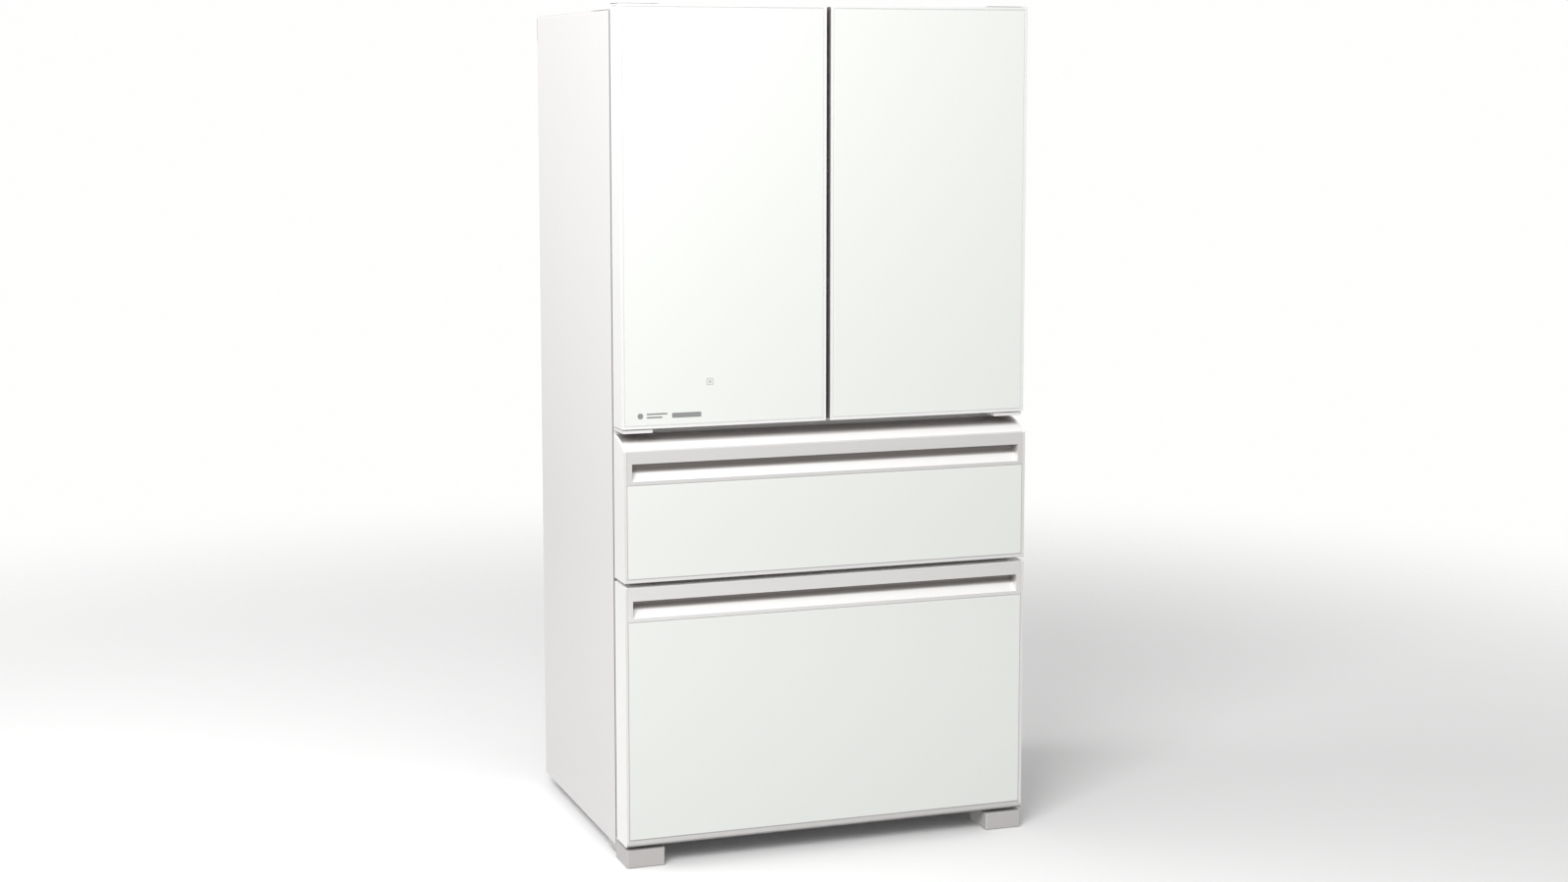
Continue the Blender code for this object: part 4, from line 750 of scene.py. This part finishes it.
def addScrews(name, places):  # pan heads on the cabinet's back, joined into one piece
    heads = []
    for x, y, z in places:
        centre = (x, y + (screwHead["height"] / 2 - screwHead["sunk"]), z)
        head = addRod(name, centre, "Y", screwHead["radius"], screwHead["height"],
                      screwHead["sides"])
        editFaces(head, lambda at, normal: normal.y > 0.9)
        bpy.ops.mesh.bevel(offset=screwHead["round"], segments=2)
        leaveEdit()
        sink(head, lambda at, normal: normal.y > 0.99,
             screwHead["border"], screwHead["wall"], screwHead["recess"])
        heads.append(head)
    screws = join(name, heads)
    soften(screws, 0)
    settle(screws, "cabinet", "brightSteel")


inset, inner = screwPlaces["inset"], screwPlaces["inner"]
low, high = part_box("back_panel")
panelFace = high.y - screwPlaces["panelRecess"]
between = (high.z - low.z - 2 * inset) / (screwPlaces["rows"] - 1)
rows = [low.z + inset + step * between for step in range(screwPlaces["rows"])]
places = [(way * (high.x - inset), panelFace, z) for way in (-1, 1) for z in rows]
places += [(way * inner, panelFace, z) for way in (-1, 1) for z in (rows[0], rows[-1])]
addScrews("backPanelScrews", places)
low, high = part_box("machine_room_cover")
places = [(x, high.y, z) for x in (low.x + inset, -inner, inner, high.x - inset)
          for z in (low.z + inset, high.z - inset)]
addScrews("machineCoverScrews", places)

# a plain rail that closes the gap under the drawer room, and a spacer at each rear top corner
bottomRail = {"top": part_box("drawer_liner")[0].z, "thickness": 0.6 * mm, "end": 1.5 * mm,
              "proud": 0.1 * mm, "raised": 0.2 * mm, "round": 0.2 * mm}
low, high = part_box("cabinet_wrap")
railFront = low.y - bottomRail["proud"]
rail = addBlock("bottomRail", (low.x + bottomRail["end"], railFront, low.z + bottomRail["raised"]),
                (high.x - bottomRail["end"], railFront + bottomRail["thickness"],
                 bottomRail["top"]))
soften(rail, bottomRail["round"])
settle(rail, "cabinet", "whitePaint")

spacer = {"width": 24 * mm, "depth": 5.5 * mm, "height": 57 * mm, "round": 1.5 * mm,
          "border": 5 * mm, "hollow": 1.5 * mm}
for side, way in (("Left", -1), ("Right", 1)):
    outer = way * high.x
    tab = addBlock("rearSpacer" + side, (outer, panelFace, high.z - spacer["height"]),
                   (outer - way * spacer["width"], high.y + spacer["depth"], high.z))
    editFaces(tab, lambda centre, normal: normal.y > 0.9)
    bpy.ops.mesh.inset(thickness=spacer["border"], depth=-spacer["hollow"])
    leaveEdit()
    soften(tab, spacer["round"], 3)
    settle(tab, "cabinet", "coverPlastic")

slideShape = {"height": 22 * mm, "thickness": 7.5 * mm, "lip": 4 * mm, "wall": 0.5 * mm,
              "groove": 3 * mm, "round": 0.6 * mm, "front": -0.25, "outside": 9.5 * mm}
for drawer in ("middle", "lower"):
    low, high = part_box(drawer + "_drawer_carrier")
    middle = (low.z + high.z) / 2
    for side, way in (("Left", -1), ("Right", 1)):
        outer = way * (high.x + slideShape["outside"])
        inner = outer - way * slideShape["thickness"]
        slide = addBlock(drawer + "Slide" + side,
                         (outer, slideShape["front"], middle - slideShape["height"] / 2),
                         (inner, high.y, middle + slideShape["height"] / 2))
        sink(slide, lambda centre, normal: -way * normal.x > 0.9,
             slideShape["lip"], slideShape["wall"], slideShape["groove"])
        soften(slide, slideShape["round"])
        settle(slide, "cabinet", "brightSteel")

seamShape = {"height": 0.09, "radius": 77.2 * mm, "width": 5 * mm, "sides": 48, "round": 1 * mm}
starterShape = {"outside": 8 * mm, "inside": 34 * mm, "half": 26 * mm, "bottom": 50 * mm,
                "top": 112 * mm, "round": 4 * mm}
low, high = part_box("compressor")
canX, canY, canTop = (low.x + high.x) / 2, (low.y + high.y) / 2, high.z
seam = addRod("compressorSeam", (canX, canY, low.z + seamShape["height"]), "Z",
              seamShape["radius"], seamShape["width"], seamShape["sides"])
soften(seam, seamShape["round"])
settle(seam, "cabinet", "blackPaint")
starter = addBlock("compressorStarter",
                   (low.x - starterShape["outside"], canY - starterShape["half"],
                    low.z + starterShape["bottom"]),
                   (low.x + starterShape["inside"], canY + starterShape["half"],
                    low.z + starterShape["top"]))
soften(starter, starterShape["round"], 3)
settle(starter, "cabinet", "darkPlastic")

suction = {"radius": 4 * mm, "x": canX - 20 * mm, "top": canTop + 26 * mm, "end": -0.10,
           "low": 0.045}
points = [(suction["x"], canY, canTop - 12 * mm),
          (suction["x"], canY, canTop + 20 * mm),
          (suction["x"], canY + 30 * mm, suction["top"]),
          (suction["x"] - 40 * mm, canY + 40 * mm, suction["top"]),
          (suction["end"] + 50 * mm, canY + 40 * mm, suction["top"]),
          (suction["end"] + 10 * mm, canY + 40 * mm, suction["top"]),
          (suction["end"], canY + 20 * mm, 0.10),
          (suction["end"], canY + 20 * mm, suction["low"])]
pipe = addPipe("suctionPipe", points, suction["radius"])
settle(pipe, "cabinet", "copperPipe")

discharge = {"radius": 3 * mm, "x": canX + 30 * mm, "end": canX + 190 * mm, "top": canTop + 14 * mm,
             "low": 0.045}
points = [(discharge["x"], canY, canTop - 16 * mm),
          (discharge["x"], canY, canTop + 8 * mm),
          (discharge["x"] + 30 * mm, canY, discharge["top"]),
          (discharge["end"] - 40 * mm, canY + 10 * mm, discharge["top"]),
          (discharge["end"], canY + 10 * mm, canTop),
          (discharge["end"], canY + 10 * mm, 0.08),
          (discharge["end"], canY + 10 * mm, discharge["low"])]
pipe = addPipe("dischargePipe", points, discharge["radius"])
settle(pipe, "cabinet", "copperPipe")

coilShape = {"left": -0.38, "right": 0.02, "low": 0.045, "rise": 22 * mm, "passes": 7,
             "bend": 12 * mm, "behind": 40 * mm, "radius": 3 * mm}
points = snake(coilShape["left"], coilShape["right"], canY + coilShape["behind"], coilShape["low"],
               coilShape["rise"], coilShape["passes"], coilShape["bend"])
coil = addPipe("condenserCoil", points, coilShape["radius"])
settle(coil, "cabinet", "blackPaint")

tubeShape = {"end": 14 * mm, "low": 18 * mm, "rise": 29 * mm, "passes": 7, "radius": 4 * mm}
low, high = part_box("evaporator")
points = snake(low.x - tubeShape["end"], high.x + tubeShape["end"], (low.y + high.y) / 2,
               low.z + tubeShape["low"], tubeShape["rise"], tubeShape["passes"], tubeShape["end"])
tubes = addPipe("evaporatorTubes", points, tubeShape["radius"])
settle(tubes, "cabinet", "brightSteel")

mullionPlate = {"proud": 0.5 * mm, "sunk": 0.2 * mm, "side": 6 * mm, "low": 12 * mm, "high": 0.735,
                "round": 0.2 * mm}
low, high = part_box("mullion")
plate = addBlock("mullionPlate",
                 (high.x - mullionPlate["sunk"], low.y + mullionPlate["side"],
                  low.z + mullionPlate["low"]),
                 (high.x + mullionPlate["proud"], high.y - mullionPlate["side"],
                  low.z + mullionPlate["high"]))
soften(plate, mullionPlate["round"])
settle(plate, "mullion", "brightSteel")
print("small parts added")


turning = {"fanRound": 0.3 * mm, "footRound": 0.3 * mm, "rollerRound": 0.6 * mm}
refine("evaporatorFan", "evaporator_fan", "fan", "darkPlastic", turning["fanRound"])
for side, low in (("Left", "left"), ("Right", "right")):
    refine("levellingFoot" + side, "levelling_foot_" + low, low + "_foot",
           "blackRubber", turning["footRound"])
    refine("rearRoller" + side, "rear_roller_" + low, low + "_roller",
           "darkPlastic", turning["rollerRound"])
print("feet refined")


floorSpec = {"size": 60, "colour": (0.90, 0.90, 0.90), "roughness": 0.8, "fadeFrom": 1.6,
             "fadeTo": 4.5}
bpy.ops.object.select_all(action="DESELECT")
bpy.ops.mesh.primitive_plane_add(size=floorSpec["size"])
floor = bpy.context.object
floor.name = "floor"
paper = Finish("studioFloor")
away = paper.node("VectorMath", {"operation": "LENGTH"}, {0: paper.place}, "Value")
fade = paper.node("MapRange", {"interpolation_type": "SMOOTHSTEP"},
                  {"Value": away, "From Min": floorSpec["fadeFrom"],
                   "From Max": floorSpec["fadeTo"]})
paper.set(Base_Color=paper.vary(paper.noise(scale=3, detail=2), floorSpec["colour"], 0.99, 1),
          Roughness=floorSpec["roughness"])
clearAir = paper.node("BsdfTransparent")
blend = paper.node("MixShader", {}, {0: fade, 2: clearAir})
paper.tree.links.new(paper.surface.outputs[0], blend.socket.node.inputs[1])
paper.tree.links.new(blend.socket, paper.tree.nodes["Material Output"].inputs["Surface"])
floor.data.materials.append(paper.material)
floor.visible_diffuse = False  # keeps its bounce off the object's lower parts

roomLight = {"base": 0.42, "below": 0.23, "fadeFrom": -0.45, "fadeTo": 0.0, "gain": 0.46,
             "towards": (-0.50, -0.50, 0.71), "colour": (1.0, 0.995, 0.99)}
world = bpy.data.worlds.new("studio")
world.use_nodes = True
scene.world = world


class Surround(Finish):  # the room: brighter towards the lamp, plain white where it is seen
    def __init__(self, room):
        self.tree = room.node_tree
        self.place = self.node("TexCoord", output="Generated")


room = Surround(world)
facing = room.node("VectorMath", {"operation": "DOT_PRODUCT"},
                   {0: room.place, 1: Vector(roomLight["towards"]).normalized()}, "Value")
lit = room.node("Math", {"operation": "MAXIMUM"}, {0: facing, 1: 0.0})
seen = room.node("LightPath", output="Is Camera Ray")
level = room.node("MapRange", {"interpolation_type": "SMOOTHSTEP"},
                  {0: room.axis("Z"), 1: roomLight["fadeFrom"], 2: roomLight["fadeTo"],
                   3: roomLight["below"], 4: roomLight["base"]})
strength = seen + (1 - seen) * (level + roomLight["gain"] * lit)
background = world.node_tree.nodes["Background"]
background.inputs["Color"].default_value = (*roomLight["colour"], 1)
world.node_tree.links.new(strength.socket, background.inputs["Strength"])

# area lamps: place, the point each is aimed at, side in metres, watts
lamps = {
    "keyLamp": {"place": (-2.0, -2.9, 3.0), "target": (-0.3, -0.3, 1.3), "side": 1.8, "power": 106},
    "sideLamp": {"place": (-2.7, 0.9, 3.0), "target": (-0.4, 0.1, 1.2), "side": 1.8, "power": 40},
}
for name, spec in lamps.items():
    bpy.ops.object.light_add(type="AREA", location=spec["place"])
    lamp = bpy.context.object
    lamp.name = name
    lamp.data.shape = "SQUARE"
    lamp.data.size = spec["side"]
    lamp.data.energy = spec["power"]
    aim = Vector(spec["target"]) - Vector(spec["place"])
    lamp.rotation_euler = aim.to_track_quat("-Z", "Y").to_euler()

cameraSpec = {"place": (-1.8524, -5.2864, 1.6530), "yaw": 19.494, "pitch": 7.155, "lens": 57.56,
              "shift": -0.03}
lookDown, lookAside = math.radians(90 - cameraSpec["pitch"]), -math.radians(cameraSpec["yaw"])
bpy.ops.object.camera_add(location=cameraSpec["place"], rotation=(lookDown, 0, lookAside))
camera = bpy.context.object
camera.data.lens = cameraSpec["lens"]
camera.data.shift_y = cameraSpec["shift"]
scene.camera = camera
print("stage set")
